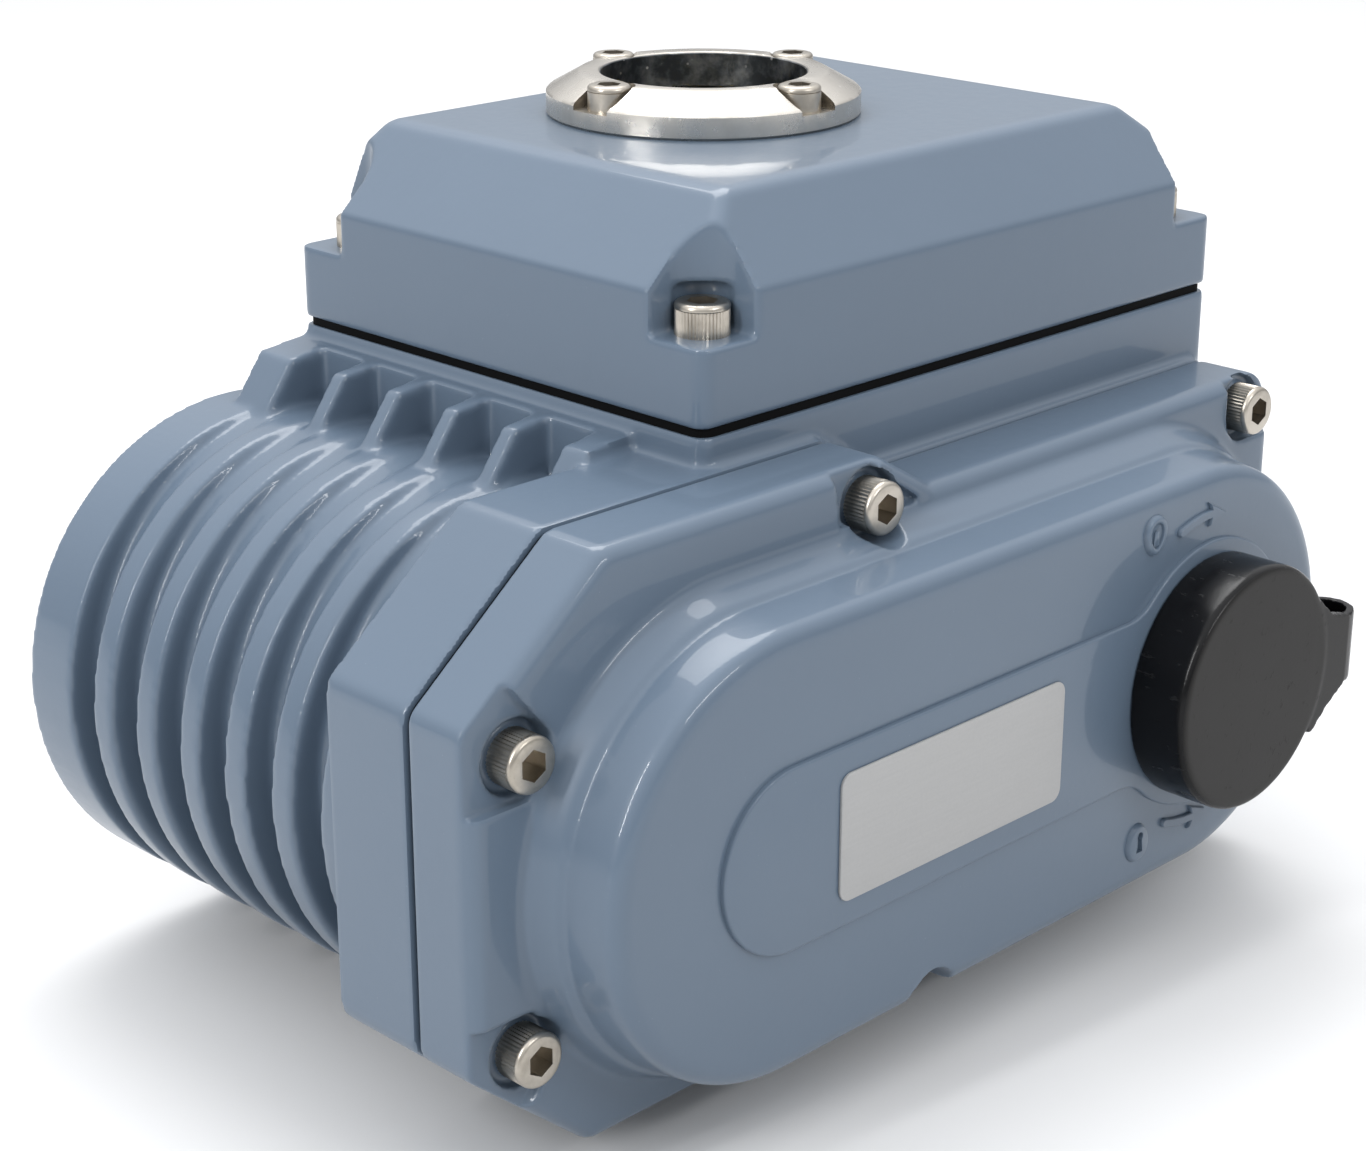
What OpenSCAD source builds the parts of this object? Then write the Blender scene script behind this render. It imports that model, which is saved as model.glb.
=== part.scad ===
// Quarter-turn electric valve actuator, built as separate pieces.
// Frame: the origin is the centre of the bottom mounting face, on the output shaft's axis.
// X runs along the end cover, -Y is the end cover's side, Z is up along the output shaft.

/* [Gear case] */
// Width of the square case along X
case_w = 151; // [150:0.5:153]
// Depth of the square case along Y
case_d = 113; // [112:0.5:114]
// Height of the case's top joint above the mounting face
case_top = 120.4; // [120:0.2:122]
// Thickness of the case's walls
case_wall = 6; // [5.5:0.5:6.5]
// Radius of the round mounting pad
pad_r = 45; // [44:0.5:46]

/* [Top cover] */
// Height of the top cover above its seal
cover_h = 38.4; // [38:0.2:40]
// Height of the corner screw seats above the seal
seat_h = 14.4; // [14:0.2:15]
// Side of the square notch over each corner screw
notch = 13.6; // [13:0.2:14]
// Radius of the notch's inner corner
notch_corner = 9; // [6:1:10]
// Outer radius of the window ring
ring_r = 31.5; // [31:0.5:32]
// Radius of the opening in the window ring
window_r = 20.6; // [20:0.2:21]

/* [Motor] */
// Outer radius of the finned motor barrel
barrel_r = 50; // [49:0.5:51]
// Distance between two cooling grooves
groove_pitch = 13.8; // [13.4:0.2:14]
// Width of one cooling groove
groove_w = 7.5; // [7:0.5:8]
// Number of cooling grooves
grooves = 6; // [4:1:6]

/* [End cover] */
// Radius of the raised long boss on the end cover
boss_r = 40; // [39:0.5:40]
// Depth of the low rim of the end cover
rim_h = 15.2; // [15:0.2:16]
// Depth of the raised long boss from the joint
boss_h = 32.5; // [32.5:0.1:33]
// Radius of the push-on cap over the manual drive
cap_r = 24.8; // [24:0.2:25]

/* [Gear train] */
// Number of teeth on the worm wheel, with a worm of one start
wheel_teeth = 28; // [28:1:28]
// Module of the worm and its wheel
worm_module = 2; // [2:1:2]
// Pitch radius of the worm
worm_pitch_r = 10; // [10:1:10]
// Thickness taken from each flank of the worm gearing as backlash
worm_slack = 0.2; // [0.18:0.01:0.22]
// Teeth of the pinion on the motor shaft
motor_teeth = 14; // [14:1:14]
// Teeth of the large wheel of the cluster gear
cluster_teeth = 54; // [54:1:54]
// Teeth of the small pinion of the cluster gear
cluster_pinion_teeth = 16; // [16:1:16]
// Teeth of the idler gear
idler_teeth = 48; // [48:1:48]
// Teeth of the spur gear that drives the worm
worm_gear_teeth = 58; // [58:1:58]

/* [Output] */
// Width across flats of the star-shaped drive socket
drive_af = 17; // [17:1:17]
// Radius of the lower journal of the output shaft
journal_r = 16; // [16:0.5:16.5]

/* [Hidden] */
$fn = 64;
round_n = 5;

// Places of the case and its joints
case_x0 = -67;
case_x1 = case_x0 + case_w;
case_y0 = -66;
case_y1 = case_y0 + case_d;
case_z0 = 8;
f07_r = 35;
f05_r = 25;
base_hole_z = 11;
floor_z = 14;
seal_z = case_top;
lid_z = 122;
lid_top = lid_z + cover_h;
lid_kink = lid_z + 22.8;
lid_seat = lid_z + seat_h;
lid_screw_in = 9.1;
lid_x = [case_x0 + 17.3, case_x1 - 19];
lid_y = [case_y0 + 12, case_y1 - 8.2];

// Places of the end cover
flange_back = -48;
joint_y = -68;
gasket_t = 0.6;
gasket_in = 1.2;
end_y = joint_y - gasket_t;
rim_y = end_y - rim_h;
boss_y = end_y - boss_h;
pocket_y = -56;
gear_z = 57.5;
motor_x = -81;
motor_bore_r = 38;
barrel_inner_r = 45;
barrel_y1 = 54.5;
cover_wall = 4;
rear_cap_r = 19.2;
rear_screw_r = 17.2;
rear_bearing_y = case_y1 - 14;

// Centres of the gear train, all on one level
spur_module = 1;
cluster_x = motor_x + spur_module*(motor_teeth + cluster_teeth)/2;
idler_x = cluster_x + spur_module*(cluster_pinion_teeth + idler_teeth)/2;
worm_x = idler_x + spur_module*(idler_teeth + worm_gear_teeth)/2;
stage_1 = [-79, -72];
stage_2 = [-92, -84];
spur_slack = 0.12;
spur_addendum = 0.9;
spur_dedendum = 1.25;

// Shafts and bearings
bearing_r = 15;
bearing_w = 9;
shaft_r = 5;
run_gap = 0.03;
end_gap = 0.1;
pin_r = 3;
wheel_z = [49.5, 65.5];
wheel_pitch_r = worm_module*wheel_teeth/2;
wheel_seat_r = 13;
worm_lead = PI*worm_module;
worm_len = 32;
worm_root_r = worm_pitch_r - 1.2*worm_module;
worm_tip_r = worm_pitch_r + worm_module;
deck_z = [74, 80];
deck_gap = 0.5;
deck_x = [-34, case_x1 - case_wall - deck_gap];
deck_y = [flange_back + deck_gap, case_y1 - case_wall - deck_gap];
upper_journal_r = 9;
cam_z = [100, 112];
cam_t = 6;
switch_drop = 1.5;
cam_shaft_r = 6;
stop_z = [33, 41];
stop_x = 22.5;
stop_tip_y = 8.3;
stop_arm = 28.5;
stop_screw_r = 3;

// Screws: radius of shank, radius and height of head
m6 = [3, 5, 6];
m5 = [2.5, 4.25, 5];
m4 = [2, 3.5, 4];

// Corners of the end cover's outline in X and Z, counter-clockwise
flange_corners = [
    [-111.3, 7.3], [case_x1, 7.3], [case_x1, 107], [-25, 107],
    [-38.5, 115], [-107, 115], [-137.2, 91], [-137.2, 29.4]
];
flange_radii = [4, 8, 8, 3, 4, 4, 4, 4];
cover_screw_in = 9.7;
cover_screw_spots = [
    [-41.7, 107], [case_x1 - cover_screw_in, 100.2], [-126, 84.3], [-125.7, 30.8],
    [-41.7, 14.6], [case_x1 - cover_screw_in, 16.5]
];
// Recesses round the end cover's screws, open towards the rim's edge, in X and Z.
// The left and right ones are given above the gear train's level and mirrored below it.
lug_drop = 2;
lug_room = 7;
lug_left = [[-145, 19], [-125, 19], [-119.4, 22.5], [-119.4, 29.6], [-128.4, 40.5], [-145, 42]];
lug_right = [
    [case_x1 - 16.5, 62], [case_x1 - 16.5, 39.5], [case_x1 - 13, 36], [case_x1 + 9, 36], [case_x1 + 9, 62]
];
lug_top = [
    [-52.7, 118], [-50.7, 108], [-50.7, 96], [-25, 96], [-25, 102.5], [-40.5, 113], [-40.5, 118]
];
lug_low = [[-50, 0], [-50, 24], [-34, 24], [-34, 0]];
lid_screw_spots = [
    for (x = [case_x0 + lid_screw_in, case_x1 - lid_screw_in])
    for (y = [case_y0 + lid_screw_in, case_y1 - lid_screw_in])
    [x, y]
];
ring_screw_r = 26;
ring_seat = 3.6;
screw_boss_r = 8;
cam_r = 14;
cam_lobe_r = 17.2;
panel_r = 17.2;
ring_boss_r = 27.5;
deck_screw_spots = [
    for (x = [deck_x[0] + 6, deck_x[1] - 5.5])
    for (y = [deck_y[0] + 3.9, deck_y[1] - 3.7])
    [x, y]
];
board_x = [cam_lobe_r + 1.8, case_x1 - 11];
board_y = [flange_back + 6, case_y1 - 18];
board_z = 92;
board_t = 1.6;
board_posts = [
    for (x = [board_x[0] + 5, board_x[1] - 5])
    for (y = [board_y[0] + 6, board_y[1] - 5])
    [x, y]
];
capacitor_spot = [case_x0 + 15.5, 113];
capacitor_r = 9;
gland_spots = [-14, 20];
gland_z = 101;

// Points along an arc about centre c
function arc(c, r, a0, a1, n = round_n) =
    [for (i = [0:n]) c + r*[cos(a0 + (a1 - a0)*i/n), sin(a0 + (a1 - a0)*i/n)]];

function unit(v) = v/norm(v);

// One rounded corner at b, between a and c
function corner(a, b, c, r, n = round_n) =
    let (
        u = unit(a - b),
        v = unit(c - b),
        half = acos(u*v)/2,
        centre = b + unit(u + v)*r/sin(half),
        p = b + u*r/tan(half) - centre,
        q = b + v*r/tan(half) - centre,
        a0 = atan2(p.y, p.x),
        raw = atan2(q.y, q.x) - a0,
        turn = raw > 180 ? raw - 360 : raw < -180 ? raw + 360 : raw
    )
    arc(centre, r, a0, a0 + turn, n);

// A closed outline with every corner rounded
function rounded(pts, radii, n = round_n) =
    let (k = len(pts))
    [for (i = [0:k - 1]) each corner(pts[(i + k - 1) % k], pts[i], pts[(i + 1) % k], radii[i], n)];

// A closed counter-clockwise outline moved inwards by d
function inset(pts, d) =
    let (k = len(pts))
    [for (i = [0:k - 1])
        let (
            u = unit(pts[i] - pts[(i + k - 1) % k]),
            v = unit(pts[(i + 1) % k] - pts[i]),
            nu = [-u.y, u.x],
            nv = [-v.y, v.x]
        )
        pts[i] + d*(nu + nv)/(1 + nu*nv)];

function rectangle(x0, y0, x1, y1) = [[x0, y0], [x1, y0], [x1, y1], [x0, y1]];
function rounded_rect(x0, y0, x1, y1, r) = rounded(rectangle(x0, y0, x1, y1), [r, r, r, r]);
function flange(d) = rounded(inset(flange_corners, d), flange_radii);
function case_outline(d) =
    rounded_rect(case_x0 + d, case_y0 + d, case_x1 - d, case_y1 - d, 3);

// The long boss: two arcs about the motor's and the worm's axes
function long_boss(r) = concat(
    arc([worm_x, gear_z], r, -90, 90, 24),
    arc([motor_x, gear_z], r, 90, 270, 24)
);

module prism_z(pts, z0, z1) {
    translate([0, 0, z0]) linear_extrude(z1 - z0) polygon(pts);
}

// An outline in X and Z, carried along Y
module prism_y(pts, y0, y1) {
    translate([0, y1, 0]) rotate([90, 0, 0]) linear_extrude(y1 - y0) polygon(pts);
}

module rod_x(y, z, r, x0, x1) {
    translate([x0, y, z]) rotate([0, 90, 0]) cylinder(r = r, h = x1 - x0);
}

module rod_y(x, z, r, y0, y1) {
    translate([x, y1, z]) rotate([90, 0, 0]) cylinder(r = r, h = y1 - y0);
}

module rod_z(x, y, r, z0, z1) {
    translate([x, y, z0]) cylinder(r = r, h = z1 - z0);
}

module tube_y(x, z, ro, ri, y0, y1) {
    difference() {
        rod_y(x, z, ro, y0, y1);
        rod_y(x, z, ri, y0 - 1, y1 + 1);
    }
}

module tube_z(ro, ri, z0, z1) {
    difference() {
        rod_z(0, 0, ro, z0, z1);
        rod_z(0, 0, ri, z0 - 1, z1 + 1);
    }
}

// A socket head screw along +Z: the head sits on z = 0 and the shank goes down
module cap_screw(size, length) {
    difference() {
        union() {
            cylinder(r = size[1], h = size[2]);
            translate([0, 0, -length]) cylinder(r = size[0], h = length + 1);
        }
        translate([0, 0, size[2]/2]) cylinder(r = size[0]*0.96, h = size[2], $fn = 6);
    }
}

// A spur gear's outline: each tooth is a trapezoid that leans to the pitch circle
function spur_outline(teeth, m) =
    let (
        r = m*teeth/2,
        pitch = 360/teeth,
        tip = r + spur_addendum*m,
        root = r - spur_dedendum*m,
        side = 90/teeth - spur_slack/r*90/PI,
        tip_side = side*0.42,
        root_side = min(side*1.6, pitch*0.46)
    )
    [for (i = [0:teeth - 1]) each [
        root*[cos(i*pitch - root_side), sin(i*pitch - root_side)],
        r*[cos(i*pitch - side), sin(i*pitch - side)],
        tip*[cos(i*pitch - tip_side), sin(i*pitch - tip_side)],
        tip*[cos(i*pitch + tip_side), sin(i*pitch + tip_side)],
        r*[cos(i*pitch + side), sin(i*pitch + side)],
        root*[cos(i*pitch + root_side), sin(i*pitch + root_side)]
    ]];

// A spur gear about the Y axis, turned by phase degrees from a tooth along +X
module spur_y(x, teeth, phase, span) {
    translate([x, span[1], gear_z]) rotate([90, 0, 0]) rotate([0, 0, phase])
        linear_extrude(span[1] - span[0]) polygon(spur_outline(teeth, spur_module));
}

// Gear housing

module barrel_grooves() {
    groove_y = 40.5;
    for (i = [0:grooves - 1]) {
        y1 = groove_y - i*groove_pitch;
        difference() {
            rod_y(motor_x, gear_z, barrel_r + 8, y1 - groove_w, y1);
            rod_y(motor_x + 5, gear_z + 2, barrel_r - 2, y1 - groove_w - 1, y1 + 1);
        }
    }
}

// The shoulder between the case and the barrel, left open as pockets between six ribs
module shoulder() {
    slope = [[case_x0 + 1, 118.4], [-78, 117], [-86, 106], [-86, 96], [case_x0 + 1, 96]];
    pocket = [[case_x0 - 3, 121], [-95, 121], [-95, 107], [case_x0 - 3, 105]];
    rib_t = 4.2;
    ribs = 6;
    first = 38;
    last = -44;
    step = (first - last)/(ribs - 1);
    difference() {
        prism_y(slope, -48.5, case_y1 - 0.5);
        for (i = [0:ribs - 2])
            prism_y(pocket, first - (i + 1)*step + rib_t/2, first - i*step - rib_t/2);
    }
}

// The room for the gear train inside the flange, with a boss left round each screw
module cover_pocket(y0, y1) {
    difference() {
        prism_y(flange(7), y0, y1);
        for (p = cover_screw_spots)
            rod_y(p.x, p.y, screw_boss_r, y0 - 1, y1 + 1);
    }
}

module housing_outside() {
    union() {
        prism_z(case_outline(0), case_z0, case_top);
        rod_z(0, 0, pad_r, 0, case_z0 + 1);
        prism_y(flange(0), joint_y, flange_back);
        shoulder();
        difference() {
            rod_y(motor_x, gear_z, barrel_r, flange_back - 1, barrel_y1);
            barrel_grooves();
        }
        rod_y(worm_x, gear_z, rear_cap_r, case_y1 - 1, case_y1 + 3);
    }
}

module housing_hollow() {
    difference() {
        prism_z(
            rounded_rect(case_x0 + case_wall, flange_back, case_x1 - case_wall, case_y1 - case_wall, 5),
            floor_z, case_top + 1
        );
        rod_y(motor_x, gear_z, barrel_inner_r, flange_back - 1, case_y1);
        for (p = lid_screw_spots)
            rod_z(p.x, p.y, 8, 90, case_top + 1);
        rod_z(0, 0, 26, floor_z - 1, 28);
        difference() {
            union() {
                rod_y(worm_x, gear_z, rear_cap_r, flange_back - 1, -43);
                rod_y(worm_x, gear_z, rear_cap_r, rear_bearing_y, case_y1);
                translate([deck_x[0] - 2, rear_bearing_y, deck_z[0] - 7.5])
                    cube([case_x1 - deck_x[0] + 2, 12, 10]);
                translate([deck_x[0] - 2, flange_back - 1, deck_z[0] - 7.5])
                    cube([case_x1 - deck_x[0] + 2, 9, 10]);
            }
            translate([deck_x[0] - 6, flange_back - 2, deck_z[0]]) cube([case_w, case_d, 20]);
        }
    }
}

module gear_housing() {
    color([0.40, 0.47, 0.56])
    difference() {
        housing_outside();
        housing_hollow();
        cover_pocket(joint_y - 1, pocket_y);
        rod_y(motor_x, gear_z, motor_bore_r, pocket_y - 1, 48);
        rod_y(worm_x, gear_z, bearing_r, pocket_y - 1, pocket_y + bearing_w);
        rod_y(worm_x, gear_z, 8, pocket_y - 1, 0);
        rod_y(worm_x, gear_z, bearing_r, rear_bearing_y, case_y1 + 4);
        rod_y(worm_x, gear_z, 8, rear_bearing_y - 3, rear_bearing_y + 1);
        rod_y(idler_x, gear_z, pin_r, pocket_y - 1, -50);
        rod_z(0, 0, 19, 6, 30);
        rod_z(0, 0, 20.5, -1, 6);
        for (a = [45:90:315])
            rotate([0, 0, a]) {
                rod_z(f07_r, 0, 3.4, -1, base_hole_z);
                rod_z(f05_r, 0, 2.5, -1, base_hole_z);
            }
        for (p = lid_screw_spots)
            rod_z(p.x, p.y, m6[0], case_top - 16, case_top + 1);
        for (p = cover_screw_spots)
            rod_y(p.x, p.y, m6[0], joint_y - 1, joint_y + 14);
        for (p = deck_screw_spots)
            rod_z(p.x, p.y, m4[0], deck_z[0] - 7, deck_z[0] + 1);
        for (s = [-1, 1])
            rod_y(s*stop_x, (stop_z[0] + stop_z[1])/2, stop_screw_r, 30, case_y1 + 1);
        for (y = gland_spots)
            rod_x(y, gland_z, 8, case_x1 - case_wall - 1, case_x1 + 1);
        for (a = [30:120:270])
            rod_y(worm_x + rear_screw_r*cos(a), gear_z + rear_screw_r*sin(a), 1.5, case_y1 - 5, case_y1 + 4);
    }
}

// End cover over the gear train

module cover_screw_holes(r, y0, y1) {
    for (p = cover_screw_spots)
        rod_y(p.x, p.y, r, y0, y1);
}

// The low rim with its recesses
module cover_rim() {
    difference() {
        union() {
            prism_y(flange(0), rim_y + 3, end_y);
            prism_y(flange(2.2), rim_y, rim_y + 3);
        }
        for (outline = [lug_left, lug_right])
        for (side = [-1, 1])
            prism_y([for (p = outline) [p.x, gear_z + side*p.y]], rim_y - 1, rim_y + lug_drop);
        for (outline = [lug_top, lug_low])
            prism_y(outline, rim_y - 1, rim_y + lug_drop);
    }
}

module end_cover() {
    color([0.44, 0.51, 0.60])
    difference() {
        union() {
            cover_rim();
            prism_y(long_boss(boss_r + 3.2), rim_y - 6, rim_y + 3);
            prism_y(long_boss(boss_r), boss_y + 3, rim_y - 5);
            prism_y(long_boss(boss_r - 2.2), boss_y, boss_y + 3.5);
            prism_y(long_boss(panel_r), boss_y - 1, boss_y + 1);
            rod_y(worm_x, gear_z, ring_boss_r, boss_y - 1, boss_y + 1);
            tube_y(worm_x, gear_z, 19.4, 17, boss_y - 5, boss_y);
        }
        cover_pocket(rim_y + cover_wall, end_y + 1);
        difference() {
            prism_y(long_boss(boss_r - cover_wall), boss_y + cover_wall, end_y + 1);
            rod_y(cluster_x, gear_z, 7, boss_y, -94);
            rod_y(idler_x, gear_z, 7, boss_y, -94);
            rod_y(worm_x, gear_z, 16, boss_y, -94.5);
        }
        cover_screw_holes(m6[0] + 0.3, rim_y - 1, end_y + 1);
        cover_screw_holes(lug_room, rim_y - 8, rim_y + 3);
        rod_y(cluster_x, gear_z, pin_r, boss_y + 2, -93);
        rod_y(idler_x, gear_z, pin_r, boss_y + 2, -93);
        rod_y(worm_x, gear_z, 9.6, boss_y - 6, -93);
        rod_y(worm_x, gear_z, 13, boss_y + 1, -93);
    }
}

module cover_gasket() {
    color([0.05, 0.05, 0.05])
    difference() {
        prism_y(flange(gasket_in), end_y, joint_y);
        cover_pocket(end_y - 1, joint_y + 1);
        cover_screw_holes(m6[0] + 0.3, end_y - 1, joint_y + 1);
    }
}

module cover_screws() {
    color([0.72, 0.70, 0.66])
    for (p = cover_screw_spots)
        translate([p.x, rim_y + 3, p.y]) rotate([90, 0, 0]) cap_screw(m6, 26);
}

// A bare plate: the maker's print is left off
module nameplate() {
    color([0.78, 0.79, 0.80])
    prism_y(rounded_rect(-70, 45.3, -8.3, 69.6, 2.5), boss_y - 1.6, boss_y - 1);
}

// Top cover

// One level of the cover: half of its slope is taken at each height
module lid_frustum(x0, y0, x1, y1, z0, tx0, ty0, tx1, ty1, z1) {
    polyhedron(
        points = [
            [x0, y0, z0], [x1, y0, z0], [x1, y1, z0], [x0, y1, z0],
            [tx0, ty0, z1], [tx1, ty0, z1], [tx1, ty1, z1], [tx0, ty1, z1]
        ],
        faces = [[0, 1, 2, 3], [4, 7, 6, 5], [0, 4, 5, 1], [1, 5, 6, 2], [2, 6, 7, 3], [3, 7, 4, 0]]
    );
}

module lid_inside() {
    d = 5;
    corner_block = notch + 5.5;
    difference() {
        prism_z(case_outline(d), lid_z - 1, lid_kink - 1);
        for (x = [case_x0, case_x1 - corner_block])
        for (y = [case_y0, case_y1 - corner_block])
            translate([x, y, lid_z - 2]) cube([corner_block, corner_block, 40]);
    }
    prism_z(
        rounded_rect(lid_x[0] + 3.7, lid_y[0] + 7, lid_x[1] - 4, lid_y[1] - 4.8, 5),
        lid_kink - 2, lid_top - d
    );
}

module top_cover() {
    notch_over = 12;
    color([0.44, 0.51, 0.60])
    difference() {
        union() {
            prism_z(case_outline(0), lid_z, lid_kink);
            lid_frustum(
                case_x0 + 0.6, case_y0 + 0.6, case_x1 - 0.6, case_y1 - 0.6, lid_kink,
                lid_x[0], lid_y[0], lid_x[1], lid_y[1], lid_top
            );
        }
        lid_inside();
        for (x = [case_x0 - notch_over, case_x1 - notch])
        for (y = [case_y0 - notch_over, case_y1 - notch])
            prism_z(
                rounded_rect(x, y, x + notch + notch_over, y + notch + notch_over, notch_corner),
                lid_seat, lid_top + 1
            );
        for (p = lid_screw_spots)
            rod_z(p.x, p.y, m6[1] + 0.5, lid_seat, lid_top);
        rod_z(0, 0, window_r, lid_top - 10, lid_top + 1);
        rod_z(0, 0, 22.5, lid_top - 3, lid_top + 1);
        for (p = lid_screw_spots)
            rod_z(p.x, p.y, m6[0] + 0.3, lid_z - 1, lid_seat + 1);
        for (a = [0:90:270])
            rotate([0, 0, a]) rod_z(ring_screw_r, 0, m5[0], lid_top - 4, lid_top + 1);
    }
}

module lid_seal() {
    color([0.04, 0.04, 0.04])
    difference() {
        prism_z(case_outline(0.8), seal_z, lid_z);
        prism_z(case_outline(case_wall), seal_z - 1, lid_z + 1);
        for (p = lid_screw_spots)
            rod_z(p.x, p.y, m6[0] + 0.2, seal_z - 1, lid_z + 1);
    }
}

module lid_screws() {
    color([0.72, 0.70, 0.66])
    for (p = lid_screw_spots)
        translate([p.x, p.y, lid_seat]) cap_screw(m6, 28);
}

module window_ring() {
    bevel = [
        [window_r, 0], [ring_r, 0], [ring_r, 4.4], [25, 8.3], [window_r, 8.3]
    ];
    color([0.66, 0.66, 0.65])
    translate([0, 0, lid_top])
    difference() {
        rotate_extrude() polygon(bevel);
        cylinder(r = 22.5, h = 1.6, center = true);
        for (a = [0:90:270])
            rotate([0, 0, a]) {
                translate([ring_screw_r, 0, -1]) cylinder(r = m5[0] + 0.2, h = 12);
                translate([ring_screw_r, 0, ring_seat]) cylinder(r = m5[1] + 0.9, h = 10);
                translate([ring_screw_r, -m5[1] - 0.9, ring_seat]) cube([10, 2*m5[1] + 1.8, 10]);
            }
    }
}

module window_seal() {
    color([0.05, 0.05, 0.05])
    tube_z(22.4, window_r + 0.2, lid_top, lid_top + 0.8);
}

module window_glass() {
    color([0.75, 0.85, 0.90, 0.35])
    rod_z(0, 0, 22.4, lid_top - 3, lid_top);
}

module ring_screws() {
    color([0.72, 0.70, 0.66])
    for (a = [0:90:270])
        rotate([0, 0, a]) translate([ring_screw_r, 0, lid_top + ring_seat]) cap_screw(m5, 7);
}

// Manual drive

// The push-on cap: a cup with a pull tab on its +X side, bent into an upright eye
module manual_cap() {
    back = boss_y - 1;
    front = back - 12.5;
    eye_x = worm_x + cap_r + 6.5;
    eye_y = front + 6;
    web = [
        [worm_x + cap_r - 3, gear_z - 13], [eye_x, gear_z - 8],
        [eye_x, gear_z + 7], [worm_x + cap_r - 3, gear_z + 11]
    ];
    color([0.07, 0.07, 0.08])
    difference() {
        union() {
            rod_y(worm_x, gear_z, cap_r, front, back);
            rod_z(eye_x, eye_y, 5.5, gear_z - 8, gear_z + 7);
            prism_y(web, front + 0.6, front + 2.6);
        }
        rod_y(worm_x, gear_z, cap_r - 5.1, front + 2.5, back + 1);
        rod_z(eye_x, eye_y, 3.8, gear_z - 9, gear_z + 8);
    }
}

module shaft_seal() {
    color([0.06, 0.06, 0.06])
    tube_y(worm_x, gear_z, 13, 9 + run_gap, boss_y + 1, -95.5);
}

// Output shaft group

module output_shaft() {
    color([0.60, 0.61, 0.63])
    difference() {
        union() {
            rod_z(0, 0, journal_r, 0.5, 44.5);
            rod_z(0, 0, 18.2, 30.2, 32.8);
            rod_z(0, 0, wheel_seat_r, 44, 70.5);
            rod_z(0, 0, upper_journal_r, 70, 92);
            rod_z(0, 0, cam_shaft_r, 91, 151.5);
        }
        for (a = [0, 45])
            rotate([0, 0, a]) translate([-drive_af/2, -drive_af/2, -1])
                cube([drive_af, drive_af, 31]);
        translate([wheel_seat_r - 3, -4, wheel_z[0]]) cube([8, 8, 21.5]);
    }
}

module output_bush() {
    color([0.72, 0.52, 0.25])
    union() {
        tube_z(19, journal_r + run_gap, 6.5, 28);
        tube_z(24, journal_r + run_gap, 28, 30);
    }
}

module output_seal() {
    color([0.06, 0.06, 0.06])
    tube_z(20.5, journal_r + run_gap, 1, 6);
}

// Worm wheel: straight flanks leaning at the worm's pressure angle, twisted by its lead
function wheel_outline() =
    let (
        pitch = 360/wheel_teeth,
        m = worm_module,
        quarter = PI*m/4 - worm_slack,
        heights = [-1.2*m, -0.6*m, 0, 0.5*m, 0.95*m],
        curve = [1.28, 1.16, 1, 0.82, 0.60],
        side = [for (i = [0:4])
            let (w = i == 0 ? quarter*1.5 : quarter*curve[i] - max(0, heights[i])*0.05)
            [wheel_pitch_r + heights[i], w/(wheel_pitch_r + heights[i])*180/PI]]
    )
    [for (t = [0:wheel_teeth - 1]) each concat(
        [for (i = [0:4]) side[i][0]*[cos(t*pitch - side[i][1]), sin(t*pitch - side[i][1])]],
        [for (i = [4:-1:0]) side[i][0]*[cos(t*pitch + side[i][1]), sin(t*pitch + side[i][1])]]
    )];

module worm_wheel() {
    face = wheel_z[1] - wheel_z[0];
    lean = atan(worm_lead/(2*PI*worm_pitch_r));
    twist = -face*tan(lean)/wheel_pitch_r*180/PI;
    color([0.74, 0.55, 0.26])
    difference() {
        translate([0, 0, wheel_z[0]]) rotate([0, 0, twist/2])
            linear_extrude(face, twist = twist, slices = 3) polygon(wheel_outline());
        rod_z(0, 0, wheel_seat_r, wheel_z[0] - 1, wheel_z[1] + 1);
        translate([0, -4, wheel_z[0] - 1]) cube([wheel_seat_r + 3, 8, face + 2]);
    }
}

module wheel_key() {
    color([0.50, 0.51, 0.53])
    translate([wheel_seat_r - 3, -4, wheel_z[0]])
        cube([6, 8, wheel_z[1] - wheel_z[0]]);
}

// Two arms a quarter turn apart that meet the stop screws
module travel_stop() {
    color([0.45, 0.46, 0.48])
    difference() {
        union() {
            rod_z(0, 0, journal_r + 4.5, stop_z[0], stop_z[1]);
            translate([-stop_arm, -8, stop_z[0]]) cube([stop_arm, 16, 8]);
            translate([-8, -stop_arm, stop_z[0]]) cube([16, stop_arm, 8]);
        }
        rod_z(0, 0, journal_r, stop_z[0] - 1, stop_z[1] + 1);
    }
}

module stop_screws() {
    color([0.72, 0.70, 0.66])
    for (s = [-1, 1])
        difference() {
            rod_y(s*stop_x, (stop_z[0] + stop_z[1])/2, stop_screw_r, stop_tip_y, case_y1 + 13);
            translate([s*stop_x, case_y1 + 14, (stop_z[0] + stop_z[1])/2])
                rotate([90, 0, 0]) cylinder(r = 1.8, h = 5, $fn = 6);
        }
}

module stop_nuts() {
    color([0.66, 0.66, 0.65])
    for (s = [-1, 1])
        translate([s*stop_x, case_y1 + 5, (stop_z[0] + stop_z[1])/2])
            rotate([90, 0, 0]) difference() {
                cylinder(r = 5.8, h = 5, $fn = 6);
                translate([0, 0, -1]) cylinder(r = stop_screw_r, h = 7);
            }
}

// Deck between the gear room and the switch room

module gear_deck() {
    color([0.62, 0.63, 0.65])
    difference() {
        prism_z(rounded_rect(deck_x[0], deck_y[0], deck_x[1], deck_y[1], 4), deck_z[0], deck_z[1]);
        rod_z(0, 0, 13, deck_z[0] - 1, deck_z[1] + 1);
        for (p = deck_screw_spots)
            rod_z(p.x, p.y, m4[0] + 0.3, deck_z[0] - 1, deck_z[1] + 1);
    }
}

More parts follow.
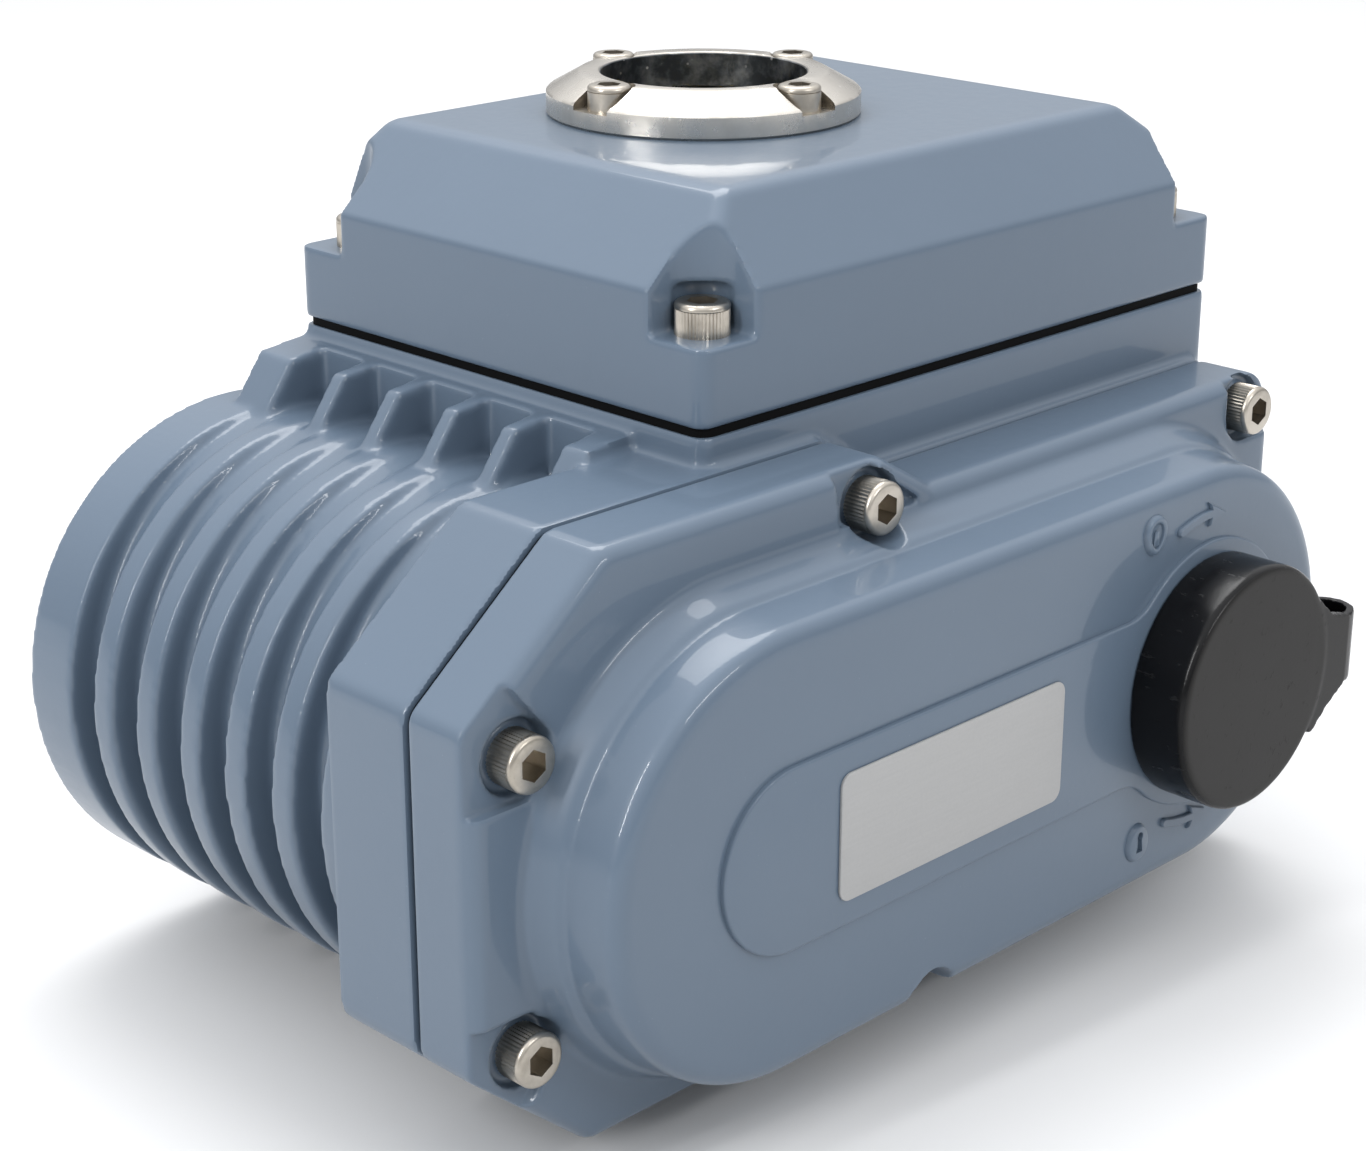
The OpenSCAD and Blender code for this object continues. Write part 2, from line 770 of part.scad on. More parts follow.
module deck_bush() {
    color([0.72, 0.52, 0.25])
    union() {
        tube_z(13, upper_journal_r + run_gap, deck_z[0], deck_z[1]);
        tube_z(16, upper_journal_r + run_gap, deck_z[1], deck_z[1] + 2);
    }
}

module deck_screws() {
    color([0.72, 0.70, 0.66])
    for (p = deck_screw_spots)
        translate([p.x, p.y, deck_z[1]]) cap_screw(m4, 12);
}

// Worm group

module worm_shaft() {
    head_y = boss_y - 7.4;
    color([0.58, 0.59, 0.61])
    difference() {
        union() {
            rod_y(worm_x, gear_z, shaft_r, stage_2[0] - 1, rear_bearing_y + bearing_w);
            rod_y(worm_x, gear_z, 9, head_y, stage_2[0]);
        }
        translate([worm_x, head_y + 10, gear_z]) rotate([90, 0, 0])
            cylinder(r = 4.6, h = 12, $fn = 6);
    }
}

// The worm: its section across the axis, turned once for each lead of its length
function worm_section() =
    let (
        m = worm_module,
        quarter = PI*m/4 - worm_slack,
        flank = 20,
        n = 20,
        rise = worm_tip_r - worm_root_r
    )
    [for (i = [0:n - 1])
        let (
            z = (i/n - 0.5)*worm_lead,
            r = worm_pitch_r + (quarter - abs(z))/tan(flank),
            c = min(worm_tip_r - 0.1, max(worm_root_r, r)),
            a = 360*i/n - 180
        )
        c*[cos(a), sin(a)]];

module worm() {
    turns = worm_len/worm_lead;
    color([0.50, 0.51, 0.53])
    difference() {
        translate([worm_x, -worm_len/2, gear_z]) rotate([-90, 0, 0])
            rotate([0, 0, -180*turns])
            linear_extrude(worm_len, twist = -360*turns, slices = ceil(30*turns), segments = 20)
            polygon(worm_section());
        rod_y(worm_x, gear_z, shaft_r, -worm_len, worm_len);
    }
}

module worm_spacers() {
    color([0.62, 0.63, 0.65])
    for (span = [
        [stage_2[1], pocket_y], [pocket_y + bearing_w, -worm_len/2], [worm_len/2, rear_bearing_y]
    ])
        tube_y(worm_x, gear_z, 7, shaft_r, span[0] + end_gap, span[1] - end_gap);
}

// A ball bearing: two races and the balls between them
module bearing(x, y0) {
    ball_r = 3;
    pitch_r = (bearing_r + shaft_r)/2;
    balls = 8;
    difference() {
        union() {
            tube_y(x, gear_z, bearing_r, pitch_r + 1.6, y0, y0 + bearing_w);
            tube_y(x, gear_z, pitch_r - 1.6, shaft_r + run_gap, y0, y0 + bearing_w);
        }
        translate([x, y0 + bearing_w/2, gear_z]) rotate([90, 0, 0])
            rotate_extrude() translate([pitch_r, 0]) circle(r = ball_r);
    }
    for (i = [0:balls - 1])
        translate([
            x + pitch_r*cos(i*360/balls), y0 + bearing_w/2, gear_z + pitch_r*sin(i*360/balls)
        ])
            sphere(r = ball_r - 0.05, $fn = 24);
}

module worm_bearings() {
    color([0.70, 0.71, 0.73]) {
        bearing(worm_x, pocket_y);
        bearing(worm_x, rear_bearing_y);
    }
}

module rear_bearing_cap() {
    color([0.44, 0.51, 0.60])
    difference() {
        union() {
            rod_y(worm_x, gear_z, rear_cap_r, case_y1 + 3, case_y1 + 6);
            rod_y(worm_x, gear_z, bearing_r - 0.1, rear_bearing_y + bearing_w, case_y1 + 4);
        }
        rod_y(worm_x, gear_z, shaft_r + 1.5, rear_bearing_y + bearing_w - 1, case_y1 - 1);
        for (a = [30:120:270])
            rod_y(worm_x + rear_screw_r*cos(a), gear_z + rear_screw_r*sin(a), 1.7, case_y1 + 2, case_y1 + 7);
    }
}

module rear_cap_screws() {
    color([0.72, 0.70, 0.66])
    for (a = [30:120:270])
        translate([worm_x + rear_screw_r*cos(a), case_y1 + 6, gear_z + rear_screw_r*sin(a)])
            rotate([-90, 0, 0]) cap_screw([1.5, 2, 2.4], 8);
}

// Spur train. Each phase puts a tooth of one gear into a gap of the next one.
cluster_phase = 180/cluster_teeth;
cluster_pinion_phase = 0;
idler_phase = 180/idler_teeth;
worm_gear_phase = 0;

module worm_gear() {
    color([0.64, 0.60, 0.50])
    difference() {
        spur_y(worm_x, worm_gear_teeth, worm_gear_phase, stage_2);
        rod_y(worm_x, gear_z, shaft_r, stage_2[0] - 1, stage_2[1] + 1);
        for (a = [45:90:315])
            rod_y(worm_x + 17*cos(a), gear_z + 17*sin(a), 5.5, stage_2[0] - 1, stage_2[1] + 1);
    }
}

module idler_gear() {
    color([0.64, 0.60, 0.50])
    difference() {
        union() {
            spur_y(idler_x, idler_teeth, idler_phase, stage_2);
            rod_y(idler_x, gear_z, 6, -93.5, stage_2[1] + 3);
        }
        rod_y(idler_x, gear_z, pin_r + run_gap, -95, -55);
    }
}

module cluster_gear() {
    color([0.64, 0.60, 0.50])
    difference() {
        union() {
            spur_y(cluster_x, cluster_teeth, cluster_phase, stage_1);
            spur_y(cluster_x, cluster_pinion_teeth, cluster_pinion_phase, [-93, stage_1[1]]);
            rod_y(cluster_x, gear_z, 6, stage_1[1] - 1, -63);
        }
        rod_y(cluster_x, gear_z, pin_r + run_gap, -95, -60);
    }
}

module idler_pin() {
    color([0.70, 0.71, 0.73])
    rod_y(idler_x, gear_z, pin_r, boss_y + 2.2, -50.2);
}

module cluster_pin() {
    color([0.70, 0.71, 0.73])
    rod_y(cluster_x, gear_z, pin_r, boss_y + 2.2, -56.7);
}

// Motor

module motor_stator() {
    slots = 12;
    color([0.45, 0.45, 0.47])
    difference() {
        rod_y(motor_x, gear_z, motor_bore_r, -25, 25);
        rod_y(motor_x, gear_z, 21.5, -26, 26);
        for (i = [0:slots - 1])
            translate([motor_x, 26, gear_z]) rotate([90, i*360/slots, 0])
                translate([20, -2.5, 0]) cube([11, 5, 52]);
    }
}

module motor_coils() {
    color([0.72, 0.42, 0.18]) {
        tube_y(motor_x, gear_z, 35, 24, -37, -25);
        tube_y(motor_x, gear_z, 35, 24, 25, 37);
    }
}

module motor_rotor() {
    color([0.55, 0.55, 0.57])
    tube_y(motor_x, gear_z, 21, shaft_r, -25, 25);
}

module motor_shaft() {
    color([0.70, 0.71, 0.73])
    rod_y(motor_x, gear_z, shaft_r, -83, 47.5);
}

module motor_pinion() {
    color([0.58, 0.59, 0.61])
    difference() {
        spur_y(motor_x, motor_teeth, 0, [-81, -71]);
        rod_y(motor_x, gear_z, shaft_r, -82, -70);
    }
}

module motor_shield() {
    color([0.60, 0.61, 0.63])
    difference() {
        union() {
            rod_y(motor_x, gear_z, 42.5, -62, pocket_y);
            rod_y(motor_x, gear_z, motor_bore_r - 0.05, pocket_y - 1, -44);
        }
        rod_y(motor_x, gear_z, bearing_r, pocket_y, -43);
        rod_y(motor_x, gear_z, 7.5, -63, -50);
        rod_y(motor_x, gear_z, 33, -47, -43);
        rod_y(cluster_x, gear_z, pin_r, -63, -56.5);
        for (a = [45:90:315])
            rod_y(motor_x + 40.3*cos(a), gear_z + 40.3*sin(a), 1.6, -63, -55);
    }
}

module motor_bearings() {
    color([0.70, 0.71, 0.73]) {
        bearing(motor_x, pocket_y);
        bearing(motor_x, 38.5);
    }
}

module shield_screws() {
    color([0.72, 0.70, 0.66])
    for (a = [45:90:315])
        translate([motor_x + 40.3*cos(a), -62, gear_z + 40.3*sin(a)])
            rotate([90, 0, 0]) cap_screw([1.5, 2.1, 2], 5.8);
}

// Switch room

// A cam on the output shaft, with a lobe over 40 degrees
module cam(z0, lobe) {
    difference() {
        union() {
            rod_z(0, 0, cam_r, z0, z0 + cam_t);
            prism_z(
                concat(arc([0, 0], cam_lobe_r, lobe - 20, lobe + 20, 8), [[0, 0]]),
                z0, z0 + cam_t
            );
        }
        rod_z(0, 0, cam_shaft_r, z0 - 1, z0 + cam_t + 1);
    }
}

module open_cam() {
    color([0.75, 0.15, 0.12]) cam(cam_z[0], 90);
}

module close_cam() {
    color([0.15, 0.55, 0.25]) cam(cam_z[1], 180);
}

module indicator_disc() {
    bar = rectangle(-15, -3, 15, 3);
    color([0.90, 0.72, 0.10])
    difference() {
        union() {
            rod_z(0, 0, 19, 149, 151);
            rod_z(0, 0, 9, 142, 150);
            prism_z(bar, 150, 153);
        }
        rod_z(0, 0, cam_shaft_r, 141, 151.5);
    }
}

module switch_bracket() {
    color([0.62, 0.63, 0.65])
    difference() {
        union() {
            translate([-34, -18, deck_z[1]]) cube([14, 36, 2]);
            translate([-34, -18, deck_z[1]]) cube([2, 36, 42]);
        }
        for (y = [-12, 12])
            rod_z(-26, y, 2.2, deck_z[1] - 1, deck_z[1] + 3);
    }
}

module micro_switch(z0) {
    translate([-32, -14, z0]) cube([11, 28, 9]);
    for (z = [z0, z0 + 8.1])
        translate([-22, -14, z]) cube([4, 3.6, 0.9]);
}

module switch_lever(z0) {
    rod_z(-19.2, -12, 1.1, z0 + 1, z0 + 8);
    translate([-18.6, -12, z0 + 2]) cube([0.8, 24, 5]);
}

module open_switch() {
    color([0.10, 0.10, 0.11]) micro_switch(cam_z[0] - switch_drop);
}

module close_switch() {
    color([0.10, 0.10, 0.11]) micro_switch(cam_z[1] - switch_drop);
}

module open_lever() {
    color([0.72, 0.73, 0.74]) switch_lever(cam_z[0] - switch_drop);
}

module close_lever() {
    color([0.72, 0.73, 0.74]) switch_lever(cam_z[1] - switch_drop);
}

module control_board() {
    color([0.10, 0.35, 0.18])
    difference() {
        union() {
            translate([board_x[0], board_y[0], board_z])
                cube([board_x[1] - board_x[0], board_y[1] - board_y[0], board_t]);
            for (y = [board_y[0] + 22, board_y[0] + 44])
                translate([board_x[0] + 7, y, board_z + 1]) cube([16, 19, 12]);
            rod_z(board_x[0] + 21, board_y[0] + 9, 5, board_z + 1, board_z + 14);
        }
        for (p = board_posts)
            rod_z(p.x, p.y, 1.7, board_z - 1, board_z + 3);
    }
}

module board_spacers() {
    color([0.80, 0.78, 0.70])
    for (p = board_posts) {
        rod_z(p.x, p.y, 3, deck_z[1], board_z);
        rod_z(p.x, p.y, 1.7, board_z - 0.5, board_z + board_t);
    }
}

module terminal_block() {
    block_x = board_x[0] + 31;
    block_y = board_y[0] + 14;
    top = board_z + board_t + 14;
    color([0.15, 0.40, 0.20])
    difference() {
        translate([block_x, block_y, board_z + board_t]) cube([12, 46, 14]);
        for (i = [0:6])
            rod_z(block_x + 6, block_y + 5 + i*6, 1.8, top - 7.6, top + 1);
    }
}

module capacitor() {
    color([0.20, 0.22, 0.26])
    rod_y(capacitor_spot.x, capacitor_spot.y, capacitor_r, -26, 20);
}

module capacitor_clip() {
    color([0.62, 0.63, 0.65])
    difference() {
        translate([case_x0 + case_wall, -8, capacitor_spot.y - 11]) cube([19, 12, 11]);
        rod_y(capacitor_spot.x, capacitor_spot.y, capacitor_r, -9, 5);
        rod_y(motor_x, gear_z, barrel_inner_r, -9, 5);
    }
}

module cable_glands() {
    color([0.10, 0.10, 0.11])
    for (y = gland_spots)
        difference() {
            union() {
                rod_x(y, gland_z, 8, case_x1 - case_wall - 2, case_x1 + 18);
                translate([case_x1, y, gland_z]) rotate([0, 90, 0]) cylinder(r = 11.5, h = 6, $fn = 6);
                rod_x(y, gland_z, 10, case_x1 + 6, case_x1 + 16);
            }
            rod_x(y, gland_z, 4, case_x1 - 10, case_x1 + 20);
        }
}

gear_housing();
end_cover();
top_cover();
lid_seal();
cover_gasket();
window_ring();
window_glass();
window_seal();
lid_screws();
ring_screws();
cover_screws();
nameplate();
manual_cap();
shaft_seal();
output_shaft();
output_bush();
output_seal();
worm_wheel();
wheel_key();
travel_stop();
stop_screws();
stop_nuts();
gear_deck();
deck_bush();
deck_screws();
worm_shaft();
worm();
worm_spacers();
worm_bearings();
rear_bearing_cap();
rear_cap_screws();
worm_gear();
idler_gear();
idler_pin();
cluster_gear();
cluster_pin();
motor_stator();
motor_coils();
motor_rotor();
motor_shaft();
motor_pinion();
motor_shield();
motor_bearings();
shield_screws();
open_cam();
close_cam();
indicator_disc();
switch_bracket();
open_switch();
close_switch();
open_lever();
close_lever();
control_board();
board_spacers();
terminal_block();
capacitor();
capacitor_clip();
cable_glands();
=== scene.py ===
import math
import bmesh
import bpy
from mathutils import Matrix, Vector


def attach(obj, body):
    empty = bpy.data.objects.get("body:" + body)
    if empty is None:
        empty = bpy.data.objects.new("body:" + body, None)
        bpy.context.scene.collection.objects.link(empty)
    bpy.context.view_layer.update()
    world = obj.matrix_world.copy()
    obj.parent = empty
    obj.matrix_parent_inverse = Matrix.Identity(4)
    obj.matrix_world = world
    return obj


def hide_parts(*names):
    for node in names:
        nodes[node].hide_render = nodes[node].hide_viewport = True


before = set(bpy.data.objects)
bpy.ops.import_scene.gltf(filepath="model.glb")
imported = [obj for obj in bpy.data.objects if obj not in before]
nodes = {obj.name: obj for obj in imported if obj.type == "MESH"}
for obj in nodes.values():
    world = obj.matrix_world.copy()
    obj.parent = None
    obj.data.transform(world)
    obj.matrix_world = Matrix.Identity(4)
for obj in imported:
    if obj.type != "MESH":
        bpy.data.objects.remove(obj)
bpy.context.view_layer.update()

# Everything is modelled in millimetres, in the frame's own places, and brought to metres when it is done
METRE = 0.001

# A fine piece that is laid into a CAD solid stands proud of it by this much
SKIN = 0.02

# Size of the cells in which each casting is fused, and the number of triangles it is thinned to
HOUSING_GRAIN = 0.7
LID_GRAIN = 0.6
COVER_GRAIN = 0.5
CAP_GRAIN = 0.4
HOUSING_BUDGET = 190000
COVER_BUDGET = 180000
CAP_BUDGET = 90000

# Case and top cover
CASE_X = (-67.0, 84.0)
CASE_Y = (-66.0, 47.0)
LID_Z = 122.0
LID_SEAT = 136.4
LID_KINK = 144.8
LID_TOP = 160.4
LID_TOP_X = (-49.7, 65.0)
LID_TOP_Y = (-54.0, 38.8)
NOTCH = 13.6
NOTCH_CORNER = 9.0
SCREW_IN = 9.1
LID_WALL = 5.0
LID_EDGE = 3.5
UPPER_ROOM = ((-46, 61), (-47, 34))
HEAD_SPACE = 0.6

# End cover
END_Y = -68.6
RIM_Y = -83.8
STEP_Y = -89.8
BOSS_Y = -101.1
MOTOR_X = -81.0
WORM_X = 38.0
GEAR_Z = 57.5
BOSS_R = 40.0
PANEL_HALF = 17.2
PANEL_RISE = 1.0
RING_BOSS_R = 27.5
COVER_SCREWS = [(-41.7, 107), (74.3, 100.2), (-126, 84.3), (-125.7, 30.8), (-41.7, 14.6), (74.3, 16.5)]
FLANGE_CORNERS = [
    (-111.3, 7.3, 4), (84, 7.3, 8), (84, 107, 8), (-25, 107, 3),
    (-38.5, 115, 4), (-107, 115, 4), (-137.2, 91, 4), (-137.2, 29.4, 4),
]
RIM_ROUND = 3.2
LUG_DROP = 2.0
LUG_ROOM = 6.6
SCREW_SINK = 3.0
SEAT_GROOVE = 1.2
SEAM = 0.9
PIN_BOSSES = (-47, -15)
PIN_BOSS_Y = -94.0
HUB_Y = -94.5
SHAFT_HOLE_R = 9.6
SPIGOT = (17.0, 19.4, 5.0)
FAR_Y = BOSS_Y - 6

# Recesses round the cover's screws: corners in X and Z with their radii. The heights of the left and right
# ones count from the gear train's level, and both are mirrored below it.
LUG_LEFT = [
    (-145, 19, 1), (-125, 19, 3), (-119.4, 22.5, 2), (-119.4, 29.6, 2), (-128.4, 40.5, 1), (-145, 42, 1),
]
LUG_RIGHT = [(67.5, 62, 1), (67.5, 36, 6), (93, 36, 1), (93, 62, 1)]
LUG_TOP = [
    (-52.7, 118, 1), (-50.7, 108, 3), (-50.7, 96, 1), (-25, 96, 1),
    (-25, 102.5, 1), (-40.5, 113, 3), (-40.5, 118, 1),
]
LUG_LOW = [(-50, 0, 1), (-50, 24, 1), (-34, 24, 1), (-34, 0, 1)]

# Motor barrel. The grooves' axis lies off the barrel's by GROOVE_OFF, so they run out towards the case.
BARREL_R = 50.0
BARREL_Y = (-48.0, 54.5)
BARREL_BORE = 45.5
BORE_END = 48.0
GROOVE_PITCH = 13.8
GROOVE_W = 7.5
GROOVE_FLOOR = 48.0
GROOVE_OFF = (5.0, 2.0)
FIRST_GROOVE = 40.5
GROOVES = 6

# Round pad under the base: radius of its opening, its own radius and its height
BASE_PAD = (20.6, 45.0, 9.0)

# Signs round the cap, above (1) and below (-1) the gear train's level. An arrow has the radius of its arc,
# and its tail, neck and tip as angles round the cap. A plaque has its centre.
ARROW_ANGLES = (108, 91.5, 82.5)
ARROW_HALF = 0.95
ARROW_HEAD = 2.5
PLAQUE_SIZE = (7.0, 8.2)
PLAQUE_LEAN = 0.12
ARROW_ARCS = ((1, 33.1), (-1, 31.4))
PLAQUES = ((1, (19.4, 90.5)), (-1, (19.5, 26.3)))

# Window ring
RING_R = 31.5
WINDOW_R = 20.6
GLASS_R = 22.5
RING_SCREW_R = 26.0
RING_SEAT = 3.6

# Manual cap with its pull eye
CAP_R = 24.8
CAP_WALL = 5.1
CAP_FLOOR = 2.5
CAP_BACK = -102.1
CAP_FRONT = -114.6
EYE_R = 6.0
EYE_HOLE = 4.3
EYE_OUT = 7.3
EYE_BACK = 6.3
EYE_SPAN = (GEAR_Z - 8, GEAR_Z + 7)

# Nameplate
PLATE_X = (-70.0, -8.3)
PLATE_Z = (45.3, 69.6)
PLATE_THICK = 0.6

# Socket head screws: radius of the shank, radius and height of the head. The knurl's grooves lie at KNURL
# times the head's radius.
M6 = (3.0, 5.0, 6.0)
M5 = (2.5, 4.25, 5.0)
KNURL = 0.955

# Brightness of the surround at the horizon and overhead
HORIZON = 0.30
ZENITH = 1.90

# Soft lights in metres: place, size and power in watts. All of them face LIGHT_AIM.
LIGHT_AIM = (0, 0, 0.08)
LIGHTS = {
    "top_box": ((0.25, 0.35, 1.0), (0.7, 0.5), 6.0),
    "left_box": ((-1.0, 0.0, 0.62), (0.05, 0.6), 4.5),
    "front_box": ((0.1, -1.1, 0.8), (0.6, 0.07), 2.5),
}
FLOOR_SIZE = 40

# Camera in metres: its place, the direction it looks away from and its lens in millimetres
EYE_PLACE = (-0.3914, -0.3856, 0.2635)
EYE_AWAY = (-0.6635, -0.6635, 0.3456)
EYE_LENS = 72.52


# Modelling


def leave_edit():
    if bpy.context.mode != "OBJECT":
        bpy.ops.object.mode_set(mode="OBJECT")


def only(item):
    """Makes item the one selected and active object."""
    leave_edit()
    bpy.ops.object.select_all(action="DESELECT")
    item.select_set(True)
    bpy.context.view_layer.objects.active = item


class Shape:
    """A mesh on the bench. A step picks faces, edges or points by place and uses an operator on them."""

    def __init__(self, name):
        self.item = bpy.context.object
        self.item.name = name
        self.item.data.name = name
        only(self.item)
        bpy.ops.object.transform_apply(location=True, rotation=True, scale=True)

    def pick(self, kind, test):
        """Selects what passes the test. The test gets a face's centre and normal, an edge's two ends or a
        point's place."""
        only(self.item)
        bpy.ops.object.mode_set(mode="EDIT")
        bpy.ops.mesh.select_mode(type=kind)
        bpy.ops.mesh.select_all(action="DESELECT")
        mesh = bmesh.from_edit_mesh(self.item.data)
        if kind == "FACE":
            for face in mesh.faces:
                face.select_set(test(face.calc_center_median(), face.normal))
        elif kind == "EDGE":
            for edge in mesh.edges:
                edge.select_set(test(edge.verts[0].co, edge.verts[1].co))
        else:
            for vert in mesh.verts:
                vert.select_set(test(vert.co))
        mesh.select_flush_mode()
        bmesh.update_edit_mesh(self.item.data)
        return self

    def all(self):
        return self.pick("VERT", lambda co: True)

    def extrude(self, x=0, y=0, z=0):
        bpy.ops.mesh.extrude_region_move(TRANSFORM_OT_translate={"value": (x, y, z)})
        return self

    def move(self, x=0, y=0, z=0):
        bpy.ops.transform.translate(value=(x, y, z))
        return self

    def scale(self, factors, centre):
        bpy.ops.transform.resize(value=factors, center_override=centre)
        return self

    def turn(self, degrees, axis, centre):
        bpy.ops.transform.rotate(value=-math.radians(degrees), orient_axis=axis, center_override=centre)
        return self

    def round_over(self, radius, steps, side):
        """Rounds the edge of the selected end face, which goes on by the radius along Y."""
        for i in range(steps):
            low = math.pi / 2 * i / steps
            high = math.pi / 2 * (i + 1) / steps
            self.inset(radius * (math.cos(low) - math.cos(high)))
            self.move(y=side * radius * (math.sin(high) - math.sin(low)))
        leave_edit()
        return self

    def inset(self, thickness):
        bpy.ops.mesh.inset(thickness=thickness, use_even_offset=True)
        return self

    def bevel(self, width, segments=4):
        bpy.ops.mesh.bevel(offset=width, segments=segments, affect="EDGES", clamp_overlap=True)
        return self

    def modify(self, kind, **settings):
        only(self.item)
        tool = self.item.modifiers.new(kind.lower(), kind)
        for key, value in settings.items():
            setattr(tool, key, value)
        bpy.ops.object.modifier_apply(modifier=tool.name)
        return self

    def combine(self, operation, others):
        """Adds the other shapes to this one or cuts them from it, and clears them away."""
        for other in others:
            leave_edit()
            self.modify("BOOLEAN", operation=operation, object=other.item, solver="EXACT")
            bpy.data.objects.remove(other.item)
        return self

    def cut(self, *others):
        return self.combine("DIFFERENCE", others)

    def add(self, *others):
        return self.combine("UNION", others)

    def lay_in(self, *others):
        """Joins the other shapes into the same mesh: a later remesh fuses them where they overlap."""
        only(self.item)
        for other in others:
            other.item.select_set(True)
        bpy.ops.object.join()
        return self

    def copy(self, name):
        only(self.item)
        bpy.ops.object.duplicate()
        return Shape(name)

    def clean(self):
        self.all()
        bpy.ops.mesh.remove_doubles(threshold=0.001)
        bpy.ops.mesh.delete_loose()
        bpy.ops.mesh.select_all(action="SELECT")
        bpy.ops.mesh.normals_make_consistent(inside=False)
        leave_edit()
        return self

    def closed(self):
        """Closes the pinholes that a cut can leave, since a remesh needs a closed skin."""
        self.all()
        bpy.ops.mesh.remove_doubles(threshold=0.01)
        bpy.ops.mesh.delete_loose()
        bpy.ops.mesh.select_all(action="DESELECT")
        bpy.ops.mesh.select_mode(type="EDGE")
        bpy.ops.mesh.select_non_manifold()
        bpy.ops.mesh.fill_holes(sides=0)
        return self.clean()

    def soften(self, passes, where=None):
        """Rounds the edges, all of them or only those of the points that pass the test."""
        group = ""
        if where:
            leave_edit()
            spot = self.item.vertex_groups.new(name="soft")
            spot.add([v.index for v in self.item.data.vertices if where(v.co)], 1.0, "REPLACE")
            group = spot.name
        self.modify("SMOOTH", factor=0.5, iterations=passes, vertex_group=group)
        if where:
            self.item.vertex_groups.clear()
        return self

    def cast(self, grain, passes, budget, softer=()):
        """Fuses the rough shapes, rounds every edge as on a casting and thins the mesh to the budget of
        triangles. softer has (passes, test) pairs for rounder spots."""
        self.closed().modify("REMESH", mode="VOXEL", voxel_size=grain, adaptivity=0)
        self.soften(passes)
        for more, where in softer:
            self.soften(more, where)
        self.item.data.calc_loop_triangles()
        count = len(self.item.data.loop_triangles)
        if count > budget:
            self.modify("DECIMATE", ratio=budget / count)
        return self

    def raise_face(self, steps):
        """Takes the front face on through (inset, rise) steps, towards -Y."""
        front = min(v.co.y for v in self.item.data.vertices)
        self.pick("FACE", lambda co, n: n.y < -0.9 and co.y < front + 0.01)
        for thickness, rise in steps:
            self.inset(thickness)
            self.move(y=-rise)
        leave_edit()
        return self

    def finish(self, body, material, slot, angle=35, stands_for=()):
        """Brings the piece to metres, smooths it, gives it its finish and its body."""
        only(self.item)
        self.item.data.transform(Matrix.Scale(METRE, 4))
        bpy.ops.object.shade_smooth_by_angle(angle=math.radians(angle))
        self.item.data.materials.clear()
        self.item.data.materials.append(material)
        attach(self.item, body)
        if stands_for:
            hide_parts(*stands_for)
        return self.item


def block(name, low, high):
    centre = [(a + b) / 2 for a, b in zip(low, high)]
    leave_edit()
    bpy.ops.mesh.primitive_cube_add(size=1, location=centre, scale=[b - a for a, b in zip(low, high)])
    return Shape(name)


AXIS_TURN = {"Y": (math.pi / 2, 0, 0), "Z": (0, 0, 0)}


def rod(name, radius, start, end, axis="Z", at=(0, 0), sides=64):
    """A cylinder along the Y or Z axis. at gives its other two coordinates, in X, Y, Z order."""
    middle = list(at)
    middle.insert("XYZ".index(axis), (start + end) / 2)
    leave_edit()
    bpy.ops.mesh.primitive_cylinder_add(
        vertices=sides, radius=radius, depth=abs(end - start), location=middle, rotation=AXIS_TURN[axis]
    )
    return Shape(name)


def plate(name, outline, start, end, axis="Y"):
    """A flat disc whose rim points are moved to the outline, then drawn out along the axis."""
    leave_edit()
    bpy.ops.mesh.primitive_circle_add(vertices=len(outline), fill_type="NGON")
    shape = Shape(name)
    for vert, (u, v) in zip(shape.item.data.vertices, outline):
        vert.co = (u, start, v) if axis == "Y" else (u, v, start)
    shift = {"y": end - start} if axis == "Y" else {"z": end - start}
    shape.all().extrude(**shift)
    return shape.clean()


def turned(name, profile, axis="Z", centre=(0, 0, 0), sides=96):
    """A turned piece: a closed profile of (radius, height) points, spun about Z or Y through centre."""
    leave_edit()
    bpy.ops.mesh.primitive_circle_add(vertices=len(profile), fill_type="NOTHING")
    shape = Shape(name)
    for vert, (radius, height) in zip(shape.item.data.vertices, profile):
        if axis == "Z":
            vert.co = (centre[0] + radius, centre[1], centre[2] + height)
        else:
            vert.co = (centre[0] + radius, centre[1] + height, centre[2])
    shape.all()
    direction = [float(letter == axis) for letter in "XYZ"]
    bpy.ops.mesh.spin(steps=sides, angle=math.tau, center=centre, axis=direction)
    return shape.clean()


def arc(centre, radius, start, end, steps):
    """Points of an arc, with its angles in degrees."""
    angles = [math.radians(start + (end - start) * i / steps) for i in range(steps + 1)]
    return [(centre[0] + radius * math.cos(a), centre[1] + radius * math.sin(a)) for a in angles]


def rounded(corners, steps=8):
    """An outline of (x, y, radius) corners, each drawn as an arc."""
    points = []
    for i, (x, y, radius) in enumerate(corners):
        here = Vector((x, y))
        before = (Vector(corners[i - 1][:2]) - here).normalized()
        after = (Vector(corners[(i + 1) % len(corners)][:2]) - here).normalized()
        half = before.angle(after) / 2
        middle = here + (before + after).normalized() * radius / math.sin(half)
        first = here + before * radius / math.tan(half) - middle
        last = here + after * radius / math.tan(half) - middle
        start = math.degrees(math.atan2(first.y, first.x))
        turn = math.degrees(math.atan2(last.y, last.x)) - start
        turn = (turn + 180) % 360 - 180
        points += arc(middle, radius, start, start + turn, steps)
    return points


def rounded_box(x, y, radius, steps=8):
    corners = [(x[0], y[0], radius), (x[1], y[0], radius), (x[1], y[1], radius), (x[0], y[1], radius)]
    return rounded(corners, steps)


def shrunk(span, by):
    return (span[0] + by, span[1] - by)


